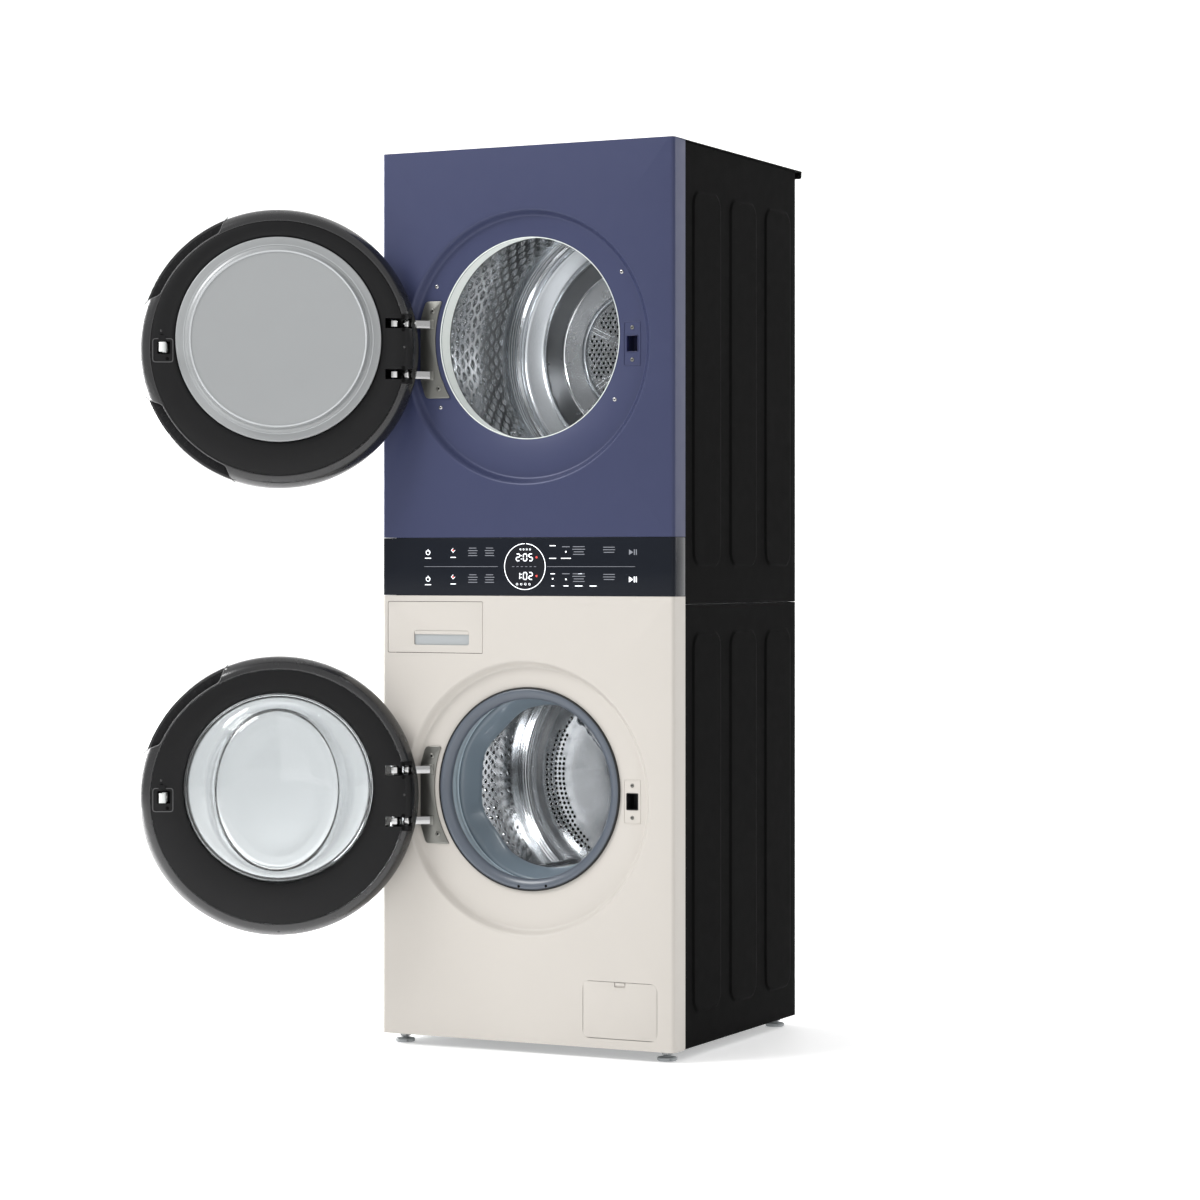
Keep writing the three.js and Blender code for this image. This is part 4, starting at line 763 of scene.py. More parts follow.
def side_casing(prefix, side, sign):
    node = f"{prefix}_side_{side}"
    lo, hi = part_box(node)
    span = EMBOSS[prefix]
    mids = [EMBOSS_MID + k * EMBOSS_PITCH for k in (-1, 0, 1)]
    y_marks = [m + s * EMBOSS_HALF for m in mids for s in (-1, 1)]
    ys = fine_steps(lo[Y], hi[Y], y_marks + [m + s * (EMBOSS_HALF - 15 * MM) for m in mids
                                             for s in (-1, 1)])
    zs = fine_steps(lo[Z], hi[Z], [span[0], span[0] + 14 * MM, span[1] - 14 * MM, span[1]], 60 * MM)
    skin = SIDE - 2.5 * MM

    def place(y, z):
        return sign * (skin + 2.5 * MM * rib_depth(y, z, span)), y, z

    sheet = grid_sheet("sheet", ys, zs, place, BLACK_SHEET)
    step = sheet.modifiers.new("wall", "SOLIDIFY")
    step.thickness = 1.2 * MM
    outward = np.mean([p.normal.x for p in sheet.data.polygons]) * sign > 0
    step.offset = -1 if outward else 1
    bake(sheet)
    lips = []
    for z in (lo[Z] + 0.6 * MM, hi[Z] - 1.8 * MM):
        near, far = sorted((sign * (skin - 14 * MM), sign * (skin - 1.0 * MM)))
        lips.append(block("lip", (near, lo[Y], z), (far, hi[Y], z + 1.2 * MM), BLACK_SHEET))
    near, far = sorted((sign * (skin - 14 * MM), sign * (skin - 0.6 * MM)))
    lips.append(block("lip", (near, hi[Y] - 1.2 * MM, lo[Z]), (far, hi[Y], hi[Z]), BLACK_SHEET))
    piece = merged(f"{prefix}_casing_{side}", [sheet] + lips)
    piece.data.shade_smooth()
    piece.data.set_sharp_from_angle(angle=math.radians(55))
    dress(piece, "cabinet", "black_paint", node)


def top_lid():
    """The top cover, a thin slab with a shallow recessed panel, its rear edge thick and rounded."""
    lo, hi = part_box("top_cover")
    body = block("lid", (lo[X], FRONT + 19 * MM, hi[Z] - 4 * MM), (hi[X], hi[Y] - 1 * MM, hi[Z]),
                 BLACK_SHEET, 1.4 * MM)
    rear = block("rear", (lo[X], hi[Y] - 12 * MM, hi[Z] - 15 * MM), (hi[X], hi[Y], hi[Z] - 0.1 * MM),
                 BLACK_SHEET, 4 * MM)
    pad = [(-SIDE + 40 * MM, FRONT + 60 * MM), (SIDE - 40 * MM, FRONT + 60 * MM),
           (SIDE - 40 * MM, BACK - 40 * MM), (-SIDE + 40 * MM, BACK - 40 * MM)]
    groove = upright_prism("cutter", rounded(pad, 30 * MM), hi[Z] - 0.6 * MM, hi[Z] + 5 * MM, BLACK_SHEET)
    body = carve(body, [groove])
    piece = merged("top_lid", [body, rear])
    dress(piece, "cabinet", "black_paint", "top_cover")


# ---------------------------------------------------------------- stamps: screws, holes, dimples
SCREW = stamp_from("screw stamp",
                   scaled([(0, 0.35), (1.2, 0.35), (1.5, 1.25), (2.5, 1.3), (3.5, 0.8), (4, 0), (0, 0)]),
                   20, CHROME)
# Black discs painted into holes and into the screws' recesses: painted shade.
HOLE_SHADE_DISC = stamp_from("hole stamp", scaled([(0, 0.15), (2.5, 0.15), (2.7, 0), (0, 0)]), 14, HOLE_SHADE)
RECESS_SHADE = stamp_from("recess stamp", scaled([(0, 0.5), (1.25, 0.5), (1.3, 0.2), (0, 0.2)]), 10, HOLE_SHADE)
STAMP_SOURCES = [SCREW, HOLE_SHADE_DISC, RECESS_SHADE]
TOWARDS_FRONT = (0, -1, 0)


def screws(name, body, slot, points, material, size=1.0):
    heads = stamped("heads", points, SCREW, material, size)
    cores = stamped("cores", points, RECESS_SHADE, HOLE_SHADE, size)
    return dress(merged(name, [heads, cores]), body, slot)


# ---------------------------------------------------------------- hinges and latches on the cabinet
ARM_RISE = 47 * MM
PLATE_FACE = DISH_FLOOR - 3.3 * MM


def hinge_plate(side):
    """Crescent plate on the dish floor, two arms out to the pin."""
    ring, mouth, radius = RING[side], MOUTH[side], MOUTH_RADIUS[side] + 10 * MM
    half = 90 * MM
    inner = [(-math.sqrt(radius ** 2 - (z + ring - mouth) ** 2), ring + z)
             for z in np.linspace(-half, half, 25)]
    ends = scaled([(-214, 0), (-225, -34)], 0, ring + half)
    ends += [(x, 2 * ring - z) for x, z in reversed(ends)]
    outline = rounded(inner + ends, 7 * MM, 3)
    plate = prism("plate", outline, PLATE_FACE, DISH_FLOOR - 0.3 * MM, BRACKET, 0.9 * MM)
    parts = [plate]
    root = Vector((-205 * MM, DISH_FLOOR - 4 * MM))
    pin = Vector(PIVOT)
    along = (root - pin).normalized()
    across = Vector((-along.y, along.x))
    for s in (-1, 1):
        z = ring + s * ARM_RISE
        path = [pin - across * 4.5 * MM, pin + across * 4.5 * MM, root + across * 4.2 * MM
                + Vector((0, 2.6 * MM)), root - across * 4.2 * MM + Vector((0, 2.2 * MM))]
        arm = upright_prism("arm", rounded([tuple(p) for p in path], 2 * MM, 3), z - 7 * MM, z + 7 * MM,
                            CHROME, 1.2 * MM)
        eye = upright_prism("eye", circle(pin.x, pin.y, 8.4 * MM, 28), z - 7 * MM, z + 7 * MM, CHROME,
                            1.0 * MM)
        foot = block("foot", (root.x - 11 * MM, PLATE_FACE - 2.2 * MM, z - 9 * MM),
                     (root.x + 9 * MM, PLATE_FACE + 0.4 * MM, z + 9 * MM), BRACKET, 1.0 * MM)
        parts += [arm, eye, foot]
    piece = merged(f"{side}_hinge_plate", parts)
    dress(piece, "cabinet", "zinc_steel", f"{side}_hinge_bracket")
    spots = []
    for s in (-1, 1):
        z = ring + s * 72 * MM
        x = -math.sqrt(radius ** 2 - (z - mouth) ** 2) - 13 * MM
        spots.append(((x, PLATE_FACE - 0.3 * MM, z), TOWARDS_FRONT))
    screws(f"{side}_hinge_screws", "cabinet", "zinc_steel", spots, BRACKET, 1.35)


def latch_plate(side):
    """Strike box behind the hook's hole, with a recessed plate round it and two screws."""
    x, z = LATCH_X, RING[side]
    y = DISH_FLOOR
    lo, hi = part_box(f"{side}_latch")
    inner = NAVY_PLASTIC if side == "dryer" else BLACK_PLASTIC
    shell = block("shell", lo, hi, inner, 1.5 * MM)
    socket = block("cutter", (x - 11.6 * MM, lo[Y] - 1 * MM, z - 15 * MM),
                   (x + 11.6 * MM, lo[Y] + 27 * MM, z + 15 * MM), HOLE_SHADE)
    body = carve(shell, [socket])
    dress(body, "cabinet", "dark_plastic", f"{side}_latch")
    collar = prism("collar", rounded_rect(x - 11.8 * MM, x + 11.8 * MM, z - 15.3 * MM, z + 15.3 * MM,
                                          2 * MM), y - 0.6 * MM, y + 12 * MM, inner)
    bore = block("cutter", (x - 10.4 * MM, y - 5 * MM, z - 13.9 * MM),
                 (x + 10.4 * MM, y + 20 * MM, z + 13.9 * MM), inner)
    collar = soften(carve(collar, [bore]), 0.3 * MM, 2)
    dress(merged(f"{side}_latch_collar", [collar]), "cabinet", "dark_plastic")
    metal = BLUE if side == "dryer" else BEIGE
    slot = "blue_paint" if side == "dryer" else "beige_paint"
    frame_out = rounded_rect(x - 17 * MM, x + 17 * MM, z - 40 * MM, z + 40 * MM, 3 * MM)
    frame_in = rounded_rect(x - 15.6 * MM, x + 15.6 * MM, z - 38.6 * MM, z + 38.6 * MM, 2.4 * MM)
    bead = prism("bead", frame_out, y - 0.75 * MM, y + 0.4 * MM, metal)
    bead = carve(bead, [prism("cutter", frame_in, y - 3 * MM, y + 3 * MM, metal)])
    dress(merged(f"{side}_latch_bead", [soften(bead, 0.35 * MM, 2)]), "cabinet", slot)
    spots = [((x, y - 0.2 * MM, z + s * 29 * MM), TOWARDS_FRONT) for s in (-1, 1)]
    screws(f"{side}_latch_screws", "cabinet", "stainless", spots, BRACKET, 0.95)


def dish_screws():
    """Four small screws round the dryer's mouth."""
    ring = RING["dryer"]
    spots = [(-192, 117), (-184, -107), (189, 130), (175, -100)]
    places = [((x * MM, DISH_FLOOR - 0.2 * MM, ring + z * MM), TOWARDS_FRONT) for x, z in spots]
    screws("dryer_dish_screws", "cabinet", "stainless", places, CHROME, 0.95)


# ---------------------------------------------------------------- drawer, flap, feet and floor parts
def drawer_front():
    """Drawer front with its finger recess, on the tray behind it."""
    lo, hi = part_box("detergent_drawer")
    skin = 3.2 * MM
    outline = rounded_rect(lo[X], hi[X], lo[Z], hi[Z], 2.5 * MM)
    plate = prism("plate", outline, FRONT, FRONT + skin, BEIGE, 0.8 * MM)
    recess = rounded_rect(-232 * MM, -116 * MM, 723 * MM, 750 * MM, 4 * MM)
    well = prism("well", rounded_rect(-235 * MM, -113 * MM, 720.5 * MM, 752.5 * MM, 4 * MM), FRONT + 1 * MM,
                 FRONT + 25 * MM, BEIGE_MOULD)
    hollow = prism("cutter", recess, FRONT - 5 * MM, FRONT + 23 * MM, BEIGE_MOULD)
    front = carve(carve(plate, [well], "UNION"), [hollow], crease=32)
    lip = prism("lip", rounded_rect(-231.8 * MM, -116.2 * MM, 742.5 * MM, 750 * MM, 2 * MM),
                FRONT + 0.6 * MM, FRONT + 5 * MM, BEIGE_MOULD, 1 * MM)
    tray = block("tray", (lo[X] + 9.5 * MM, FRONT + skin, lo[Z] + 7 * MM),
                 (hi[X] - 8.5 * MM, hi[Y], hi[Z] - 14 * MM), GREY_MOULD, 2 * MM)
    rooms = [block("cutter", (x0 * MM, -250 * MM, 719 * MM), (x1 * MM, hi[Y] - 3 * MM, hi[Z] + 9 * MM),
                   GREY_MOULD) for x0, x1 in ((-274, -217), (-214, -101))]
    tray = carve(tray, rooms)
    dress(merged("detergent_drawer_body", [front, lip, tray]), "drawer", "beige_plastic",
          "detergent_drawer")


def flap():
    """Drain filter's cover, with its pull tab notched into the upper edge."""
    lo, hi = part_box("filter_cover")
    x = (lo[X] + hi[X]) / 2
    outline = rounded([(lo[X], lo[Z] + 0.2 * MM), (hi[X], lo[Z] + 0.2 * MM), (hi[X], hi[Z]),
                       (lo[X], hi[Z])], 9 * MM, 6)
    plate = prism("plate", outline, FRONT, FRONT + 3.2 * MM, BEIGE, 0.7 * MM)
    notch = prism("cutter", rounded_rect(x - 11 * MM, x + 11 * MM, hi[Z] - 9 * MM, hi[Z] + 5 * MM, 2 * MM),
                  FRONT - 5 * MM, FRONT + 2.4 * MM, BEIGE)
    plate = carve(plate, [notch])
    tab = prism("tab", rounded_rect(x - 9.6 * MM, x + 9.6 * MM, hi[Z] - 6.5 * MM, hi[Z] - 0.6 * MM,
                                    1.5 * MM), FRONT + 0.7 * MM, FRONT + 3 * MM, BEIGE_MOULD, 0.5 * MM)
    dress(merged("filter_flap_body", [plate, tab]), "filter_flap", "beige_plastic", "filter_cover")


def seam_shadow(name, node, by, corner):
    """Black strip in the gap round a flap, just below the skin, painting the seam's shadow."""
    x0, x1, z0, z1 = grown(node, by)
    outer = prism("seam", rounded_rect(x0 - 3 * MM, x1 + 3 * MM, z0 - 3 * MM, z1 + 3 * MM, corner),
                  FRONT + 3.6 * MM, FRONT + 4.6 * MM, BLACK_PLASTIC)
    inner = prism("cutter", rounded_rect(x0 + 3 * MM, x1 - 3 * MM, z0 - 12 * MM, z1 - 3 * MM, corner),
                  FRONT, FRONT + 9 * MM, BLACK_PLASTIC)
    dress(merged(name, [carve(outer, [inner])]), "cabinet", "black_rubber")


def back_details(side):
    """Screws round a back sheet's edge and two banks of pressed louvres on its raised cover."""
    lo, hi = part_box(f"{side}_back_panel")
    sheet = BACK + GAP + SHEET
    half = hi[X] - 9 * MM
    heights = np.linspace(lo[Z] + 14 * MM, hi[Z] - 14 * MM, 5)
    spots = [((s * half, sheet - 0.1 * MM, z), TOWARDS_BACK) for s in (-1, 1) for z in heights]
    tray = hi[Y]
    middle_z = RING[side]
    spots += [((s * 150 * MM, tray - 0.1 * MM, middle_z + t * 150 * MM), TOWARDS_BACK) for s in (-1, 1)
              for t in (-1, 0, 1)]
    screws(f"{side}_back_screws", "cabinet", "zinc_steel", spots, BRACKET, 1.2)
    slats = []
    for column in (-1, 1):
        for row in range(6):
            z = middle_z + (row - 2.5) * 15 * MM + (90 * MM if side == "dryer" else -70 * MM)
            x = column * 70 * MM
            slats.append(block("slat", (x - 38 * MM, tray - 0.2 * MM, z),
                               (x + 38 * MM, tray + 2.4 * MM, z + 5 * MM), ZINC, 1.8 * MM))
            # Under each slat a black strip paints the shade in its slit.
            slats.append(block("slit", (x - 36 * MM, tray - 0.2 * MM, z - 2.2 * MM),
                               (x + 36 * MM, tray + 0.25 * MM, z), HOLE_SHADE))
    dress(merged(f"{side}_back_louvres", slats), "cabinet", "zinc_steel")


def feet():
    for node in ("foot_front_left", "foot_front_right", "foot_back_left", "foot_back_right"):
        x, y = middle(node, X), middle(node, Y)
        profile = [(0, 0), (16.6, 0), (17.9, 1.4), (17.9, 5.0), (16.8, 6.4), (8, 8.0), (7.2, 9.4),
                   (5.9, 9.6)]
        profile += [(5.9 - 0.35 * (k % 2), 10.2 + 0.6 * k) for k in range(24)]
        profile += [(5.5, 25.0), (0, 25.0)]
        pad = stamp_from("pad", [(r * MM, h * MM) for r, h in profile], 64, GREY_MOULD)
        pad.data.transform(Matrix.Translation((x, y, FOOT)))
        nut = upright_prism("nut", circle(x, y, 11 * MM, 6), FOOT + 11.2 * MM, FOOT + 16.4 * MM, ZINC,
                            0.6 * MM)
        slots = [block("cutter", (x + c * 18.5 * MM - 2 * MM, y + s * 18.5 * MM - 2 * MM, FOOT + 1.6 * MM),
                       (x + c * 18.5 * MM + 2 * MM, y + s * 18.5 * MM + 2 * MM, FOOT + 5 * MM), GREY_MOULD)
                 for c, s in ((0.7, 0.7), (-0.7, 0.7), (0.7, -0.7), (-0.7, -0.7))]
        pad = carve(pad, slots)
        dress(merged(node + "_body", [pad, nut]), "cabinet", "grey_plastic", node)


# ---------------------------------------------------------------- doors
TOWARDS_BACK = (0, 1, 0)
EDGE = [(21.5, -7.6), (15.5, -5.6), (10, -1.4), (5, 6), (1.2, 14), (0, 21), (1.3, 27), (7, 32.6),
        (18.5, 37.4), (36.5, 45)]
GRIPS = {"dryer": [(18, 69), (-72, -20)], "washer": [(18, 69)]}
DRAIN_RADIUS = 249 * MM
GLASS_RADIUS = {"dryer": 188.5 * MM, "washer": 172 * MM}


def smooth_line(points, steps=5):
    """A curve through the points (Catmull-Rom)."""
    points = [Vector(p) for p in points]
    padded = [points[0]] + points + [points[-1]]
    line = []
    for k in range(1, len(padded) - 2):
        a, b, c, d = padded[k - 1:k + 3]
        for i in range(steps):
            t = i / steps
            line.append(tuple(0.5 * ((2 * b) + (c - a) * t + (2 * a - 5 * b + 4 * c - d) * t ** 2
                                     + (3 * b - a - 3 * c + d) * t ** 3)))
    line.append(tuple(points[-1]))
    return line


def at_depth(section):
    """(radius, depth) pairs in millimetres as (radius, y); depth grows out of the front plane."""
    return [(r * MM, FRONT - d * MM) for r, d in section]


def door_curve(shrink=0.0):
    return smooth_line([(257.5 - inset - shrink, d) for inset, d in EDGE])


def hinge_body(ring, grow):
    lo = (PIVOT[0] - (9 + grow) * MM, FRONT - (30 + grow) * MM, ring - (64 + grow) * MM)
    hi = (PIVOT[0] + (45 + grow) * MM, DOOR_FACE - (0.6 - 3 * grow) * MM, ring + (64 + grow) * MM)
    return block("hinge body", lo, hi, CHARCOAL)


def grip_outline(ring, start, stop, inner, outer, steps=40):
    """A sector along the rim whose ends swing out to the edge."""
    angles = np.radians(np.linspace(start, stop, steps))
    ends = np.minimum(np.linspace(0, 1, steps), np.linspace(1, 0, steps)) * (stop - start) / 7.0
    radii = outer - (outer - inner) * lift(ends)
    inside = [(r * math.cos(a), ring + r * math.sin(a)) for r, a in zip(radii, angles)]
    outside = [((outer + 0.5 * MM) * math.cos(a), ring + (outer + 0.5 * MM) * math.sin(a))
               for a in angles[::-1]]
    return inside + outside


def bead_along(name, line, material, radius=0.8 * MM, steps=8):
    """A thin round bead along an (x, z) line, dropping with the rim's curve towards its edge."""
    ring = min(RING.values(), key=lambda value: abs(value - line[len(line) // 2][1]))
    verts = []
    for i, (x, z) in enumerate(line):
        reach = math.hypot(x, z - ring)
        fall = np.interp(reach / MM, [236, 242, 247.5, 252.5, 256.5], [7.4, 5.6, 1.4, -6, -14])
        before = Vector(line[max(i - 1, 0)])
        after = Vector(line[min(i + 1, len(line) - 1)])
        along = (after - before).normalized()
        across = Vector((-along.y, along.x))
        for k in range(steps):
            a = 2 * math.pi * k / steps
            point = Vector((x, z)) + across * radius * math.cos(a)
            verts.append((point.x, FRONT + fall * MM + radius * math.sin(a), point.y))
    rows = rings_of(steps, len(line))
    return new_piece(name, verts, [rows[0], rows[-1]] + wound(rows), material, crease=60)


def door_rim(side):
    """Rounded outer ring; its grips are scooped out on the inner side."""
    ring = RING[side]
    section = [(234.4, -7.2)] + door_curve() + [(217.6, 41.5), (234.4, 26)]
    rim = turned("rim", at_depth(section), ring, RIM_GLOSS, steps=216, crease=50)
    rim = carve(rim, [hinge_body(ring, 0.5)], crease=50)
    cutters, parts = [], []
    for start, stop in GRIPS[side]:
        outline = grip_outline(ring, start, stop, 236.5 * MM, 259 * MM)
        cutters.append(prism("cutter", outline, FRONT - 14 * MM, FRONT + 20 * MM, RIM_GRIP))
        floor = grip_outline(ring, start, stop, 236.9 * MM, 251.5 * MM)
        bed = prism("bed", floor, FRONT - 16 * MM, FRONT - 11 * MM, RIM_GRIP)
        ribs = []
        for a in np.radians(np.arange(start + 6, stop - 4, 4.0)):
            mid = Vector((242.5 * MM * math.cos(a), ring + 242.5 * MM * math.sin(a)))
            ray = Vector((math.cos(a), math.sin(a)))
            turn = Vector((-ray.y, ray.x))
            corners = [mid - ray * 4.5 * MM - turn * 2.4 * MM, mid + ray * 6 * MM - turn * 2.4 * MM,
                       mid + ray * 6 * MM + turn * 2.4 * MM, mid - ray * 4.5 * MM + turn * 2.4 * MM]
            ribs.append(prism("rib", [tuple(c) for c in corners], FRONT - 12 * MM, FRONT - 9.6 * MM,
                              RIM_GRIP, 0.6 * MM))
        edge_line = outline[:len(outline) // 2]
        parts += [bed] + ribs + [bead_along("edge", edge_line, HIGHLIGHT_BEAD)]
    if side == "washer":
        cutters.append(turned("cutter", scaled([(0, -2), (2.4, -2), (2.4, 30), (0, 30)], 0, FRONT),
                              ring - DRAIN_RADIUS, HOLE_SHADE, steps=20))
    rim = carve(rim, cutters, crease=50)
    dress(swung(merged(f"{side}_rim_body", [rim] + parts)), f"{side}_door", "gloss_plastic",
          f"{side}_door_rim")


def door_frame(side):
    """Inner plate with the glass's seat, the hinge body with its two slots and the hook's bay."""
    ring, glass_z, hole = RING[side], MOUTH[side], GLASS_RADIUS[side] + 0.8 * MM
    step = hole + 9.5 * MM
    plate = turned("plate", at_depth([(0, -3.9), (232.9, -3.9), (233.4, -4.4), (233.4, -7.2), (232.6, -7.8),
                                      (0, -7.8)]), ring, CHARCOAL, steps=216, crease=50)
    collar = turned("collar", [(0, FRONT - 25.5 * MM), (hole + 4.2 * MM, FRONT - 25.5 * MM),
                               (hole + 4.2 * MM, FRONT + 6 * MM), (0, FRONT + 6 * MM)], glass_z, CHARCOAL,
                    steps=144)
    within = turned("within", at_depth([(0, -7.8)] + door_curve(0.7) + [(0, 45)]), ring, CHARCOAL,
                    steps=216)
    body = carve(hinge_body(ring, 0), [within], "INTERSECT")
    bay = block("bay", (194.5 * MM, FRONT - 23.5 * MM, ring - 15.5 * MM),
                (222.5 * MM, FRONT + 6 * MM, ring + 15.5 * MM), CHARCOAL)
    frame_piece = carve(plate, [collar, body, bay], "UNION")
    seat = turned("cutter", [(0, FRONT - 60 * MM), (hole, FRONT - 60 * MM), (hole, FRONT + 3.6 * MM),
                             (hole + 1.2 * MM, FRONT + 5.4 * MM), (hole + 5 * MM, FRONT + 7.0 * MM),
                             (step, FRONT + 7.6 * MM), (step + 3 * MM, FRONT + 7.9 * MM),
                             (step + 3 * MM, FRONT + 20 * MM), (0, FRONT + 20 * MM)], glass_z, CHARCOAL,
                  steps=180)
    cutters = [seat]
    for s in (-1, 1):
        z = ring + s * ARM_RISE
        cutters.append(block("cutter", (-262.5 * MM, -313 * MM, z - 9.3 * MM),
                             (-196 * MM, -265 * MM, z + 9.3 * MM), HOLE_SHADE))
    cutters.append(block("cutter", (197.5 * MM, FRONT - 21 * MM, ring - 11.5 * MM),
                         (221 * MM, FRONT + 20 * MM, ring + 11.5 * MM), HOLE_SHADE, 1.5 * MM))
    frame_piece = carve(frame_piece, cutters, crease=40)
    # The pale bead round the hook's bay paints its edge highlight.
    bead_out = prism("bead", rounded_rect(192 * MM, 230 * MM, ring - 27 * MM, ring + 17 * MM, 5 * MM),
                     DOOR_FACE - 0.5 * MM, DOOR_FACE + 0.7 * MM, HIGHLIGHT_BEAD)
    bead = carve(bead_out,
                 [prism("cutter", rounded_rect(193.4 * MM, 228.6 * MM, ring - 25.6 * MM, ring + 15.6 * MM,
                                               4 * MM), FRONT, FRONT + 20 * MM, RIM_GLOSS)])
    tower = block("tower", (205.5 * MM, DOOR_FACE - 1 * MM, ring + 12 * MM),
                  (219 * MM, DOOR_FACE + 1.8 * MM, ring + 23 * MM), CHARCOAL, 0.8 * MM)
    pin = upright_prism("pin", circle(PIVOT[0], PIVOT[1], 3.8 * MM, 24), ring - 60 * MM, ring + 60 * MM,
                        DARK_STEEL)
    lugs = []
    for s in (-1, 1):
        z = ring + s * ARM_RISE
        lugs.append(block("lug", (-218 * MM, -300 * MM, z - 6.4 * MM),
                          (-206.5 * MM, -283 * MM, z + 6.4 * MM), CHROME, 1 * MM))
    body = merged(f"{side}_frame_body", [frame_piece, bead, tower, pin] + lugs)
    dress(swung(body), f"{side}_door", "dark_plastic", f"{side}_door_frame")
    face = DOOR_FACE - 0.25 * MM
    spots = [((x * MM, face, ring + z * MM), TOWARDS_BACK) for x, z in ((214, 31), (-222, 81), (-231, 3),
            (-222, -81))]
    small = swung(stamped(f"{side}_door_screws", spots, SCREW, RIM_GLOSS, 0.62))
    dress(small, f"{side}_door", "dark_plastic")
    # Black discs where the frame has holes: painted shade.
    spots = [((-229 * MM, face + 0.3 * MM, ring + (s * 47 + d) * MM), TOWARDS_BACK) for s in (-1, 1)
             for d in (-12, 12)]
    spots += [((x * MM, face + 0.3 * MM, ring + z * MM), TOWARDS_BACK) for x, z in ((213, 22), (203, -20))]
    holes = swung(stamped(f"{side}_door_holes", spots, HOLE_SHADE_DISC, HOLE_SHADE, 1.25))
    dress(holes, f"{side}_door", "dark_plastic")


def door_cover(side):
    """Dark domed disc on the outside."""
    section = smooth_line([(0, 60), (60, 60), (110, 59.7), (160, 58.4), (196, 53.6), (212, 49.0),
                           (215.8, 46.4)])
    section += [(212.8, 43.6)] + smooth_line([(195, 49.4), (160, 54.4), (0, 56)])
    glass = SMOKED if side == "dryer" else TINTED
    piece = turned(f"{side}_cover_body", at_depth(section), RING[side], glass, steps=180, crease=50)
    dress(swung(piece), f"{side}_door", "smoked_glass", f"{side}_door_cover")


def door_hook(side):
    ring = RING[side]
    z0, z1 = ring - 8.8 * MM, ring + 8.8 * MM
    outline = [(204.2, -13), (211.8, -13), (211.8, 24), (216.8, 24.8), (216.8, 28), (211.4, 33.8),
               (206, 33.8), (204.2, 31)]
    shape = rounded([(x * MM, FRONT + y * MM) for x, y in outline], 1.6 * MM, 3)
    claw = upright_prism("claw", shape, z0, z1, PALE_PLASTIC, 0.6 * MM)
    hub = upright_prism("hub", circle(208 * MM, FRONT - 13 * MM, 4.8 * MM, 24), z0, z1, PALE_PLASTIC,
                        0.5 * MM)
    slot = block("cutter", (200 * MM, FRONT + 4 * MM, ring - 3 * MM),
                 (220 * MM, FRONT + 18 * MM, ring + 3 * MM), PALE_PLASTIC)
    claw = carve(claw, [slot])
    dress(swung(merged(f"{side}_hook_body", [claw, hub])), f"{side}_hook", "grey_plastic",
          f"{side}_door_hook")


def dryer_glass():
    """Frosted stepped panel with polished steps."""
    z = MOUTH["dryer"]
    face = smooth_line([(164.5, -20), (166.8, -13), (170.2, -10.2), (172.6, -9.2)], 4)
    ring_part = smooth_line([(174.5, -8.4), (180, -8.7), (185, -8.9), (187.8, -8.2), (188.4, -6)], 4)
    section = [(160.6, -24.8)] + smooth_line([(162.6, -24.6), (163.6, -23.6), (164.2, -22)], 3) + face
    section += [(172.9, -8.6), (173.6, -8.2)] + ring_part + [(188.4, 9.6), (184.6, 9.6), (184.4, -4),
                                                             (166, -5.5), (160.4, -19.8)]
    rim = turned("rim", at_depth(section), z, FROSTED, steps=216, crease=30)
    disc = turned("disc",
                  at_depth([(0, -24.2), (158.8, -24.2), (159.3, -23.6), (160.5, -23.4), (160.5, -20),
                            (0, -20)]), z, FROSTED, steps=216)
    bright = turned("bright",
                    at_depth([(159.0, -24.4), (159.4, -25.3), (161.8, -25.3), (162.6, -24.4),
                              (161, -23.5)]), z, FROST_EDGE, steps=216)
    line = turned("line",
                  at_depth([(172.7, -8.9), (173.0, -9.6), (174.2, -9.6), (174.6, -8.9), (173.6, -8.2)]), z,
                  FROST_EDGE, steps=216)
    piece = merged("dryer_glass_body", [rim, disc, bright, line])
    dress(swung(piece), "dryer_door", "frosted_panel", "dryer_door_glass")


def washer_glass():
    """Deep clear bowl, round at its rim and an upright oval at its tip."""
    z = MOUTH["washer"]
    outside = [(0, 0, 84), (60, 90, 83.8), (90, 122, 83.2), (104, 137, 81), (110.5, 144, 77.5),
               (113.4, 147.2, 72), (118, 148.6, 58), (125.5, 150.2, 40), (132, 152, 27), (142, 155, 17.5),
               (155, 160, 11.8), (165, 166, 9.6), (170.2, 170.2, 8.7), (171.8, 171.8, 7)]
    rings = [Vector(r) for r in outside]
    inner = [Vector((max(r[0] - 3.6, 0), max(r[1] - 3.6, 0), r[2] - (4.2 if r[0] < 100 else 1.5)))
             for r in rings[:-2]]
    profile = rings + [Vector((171.8, 171.8, -7.6)), Vector((168.2, 168.2, -7.6)),
                       Vector((167.6, 167.6, 5))]
    profile += inner[::-1]
    steps = 160
    verts, rows = [], []
    for a, b, depth in profile:
        if a < 1e-6:
            rows.append([len(verts)] * steps)
            verts.append((0, FRONT + depth * MM, z))
            continue
        rows.append(list(range(len(verts), len(verts) + steps)))
        for k in range(steps):
            t = 2 * math.pi * k / steps
            verts.append((a * MM * math.sin(t), FRONT + depth * MM, z + b * MM * math.cos(t)))
    piece = new_piece("washer_glass_body", verts, wound(rows), CLEAR, crease=70)
    dress(swung(piece), "washer_door", "clear_glass", "washer_door_glass")


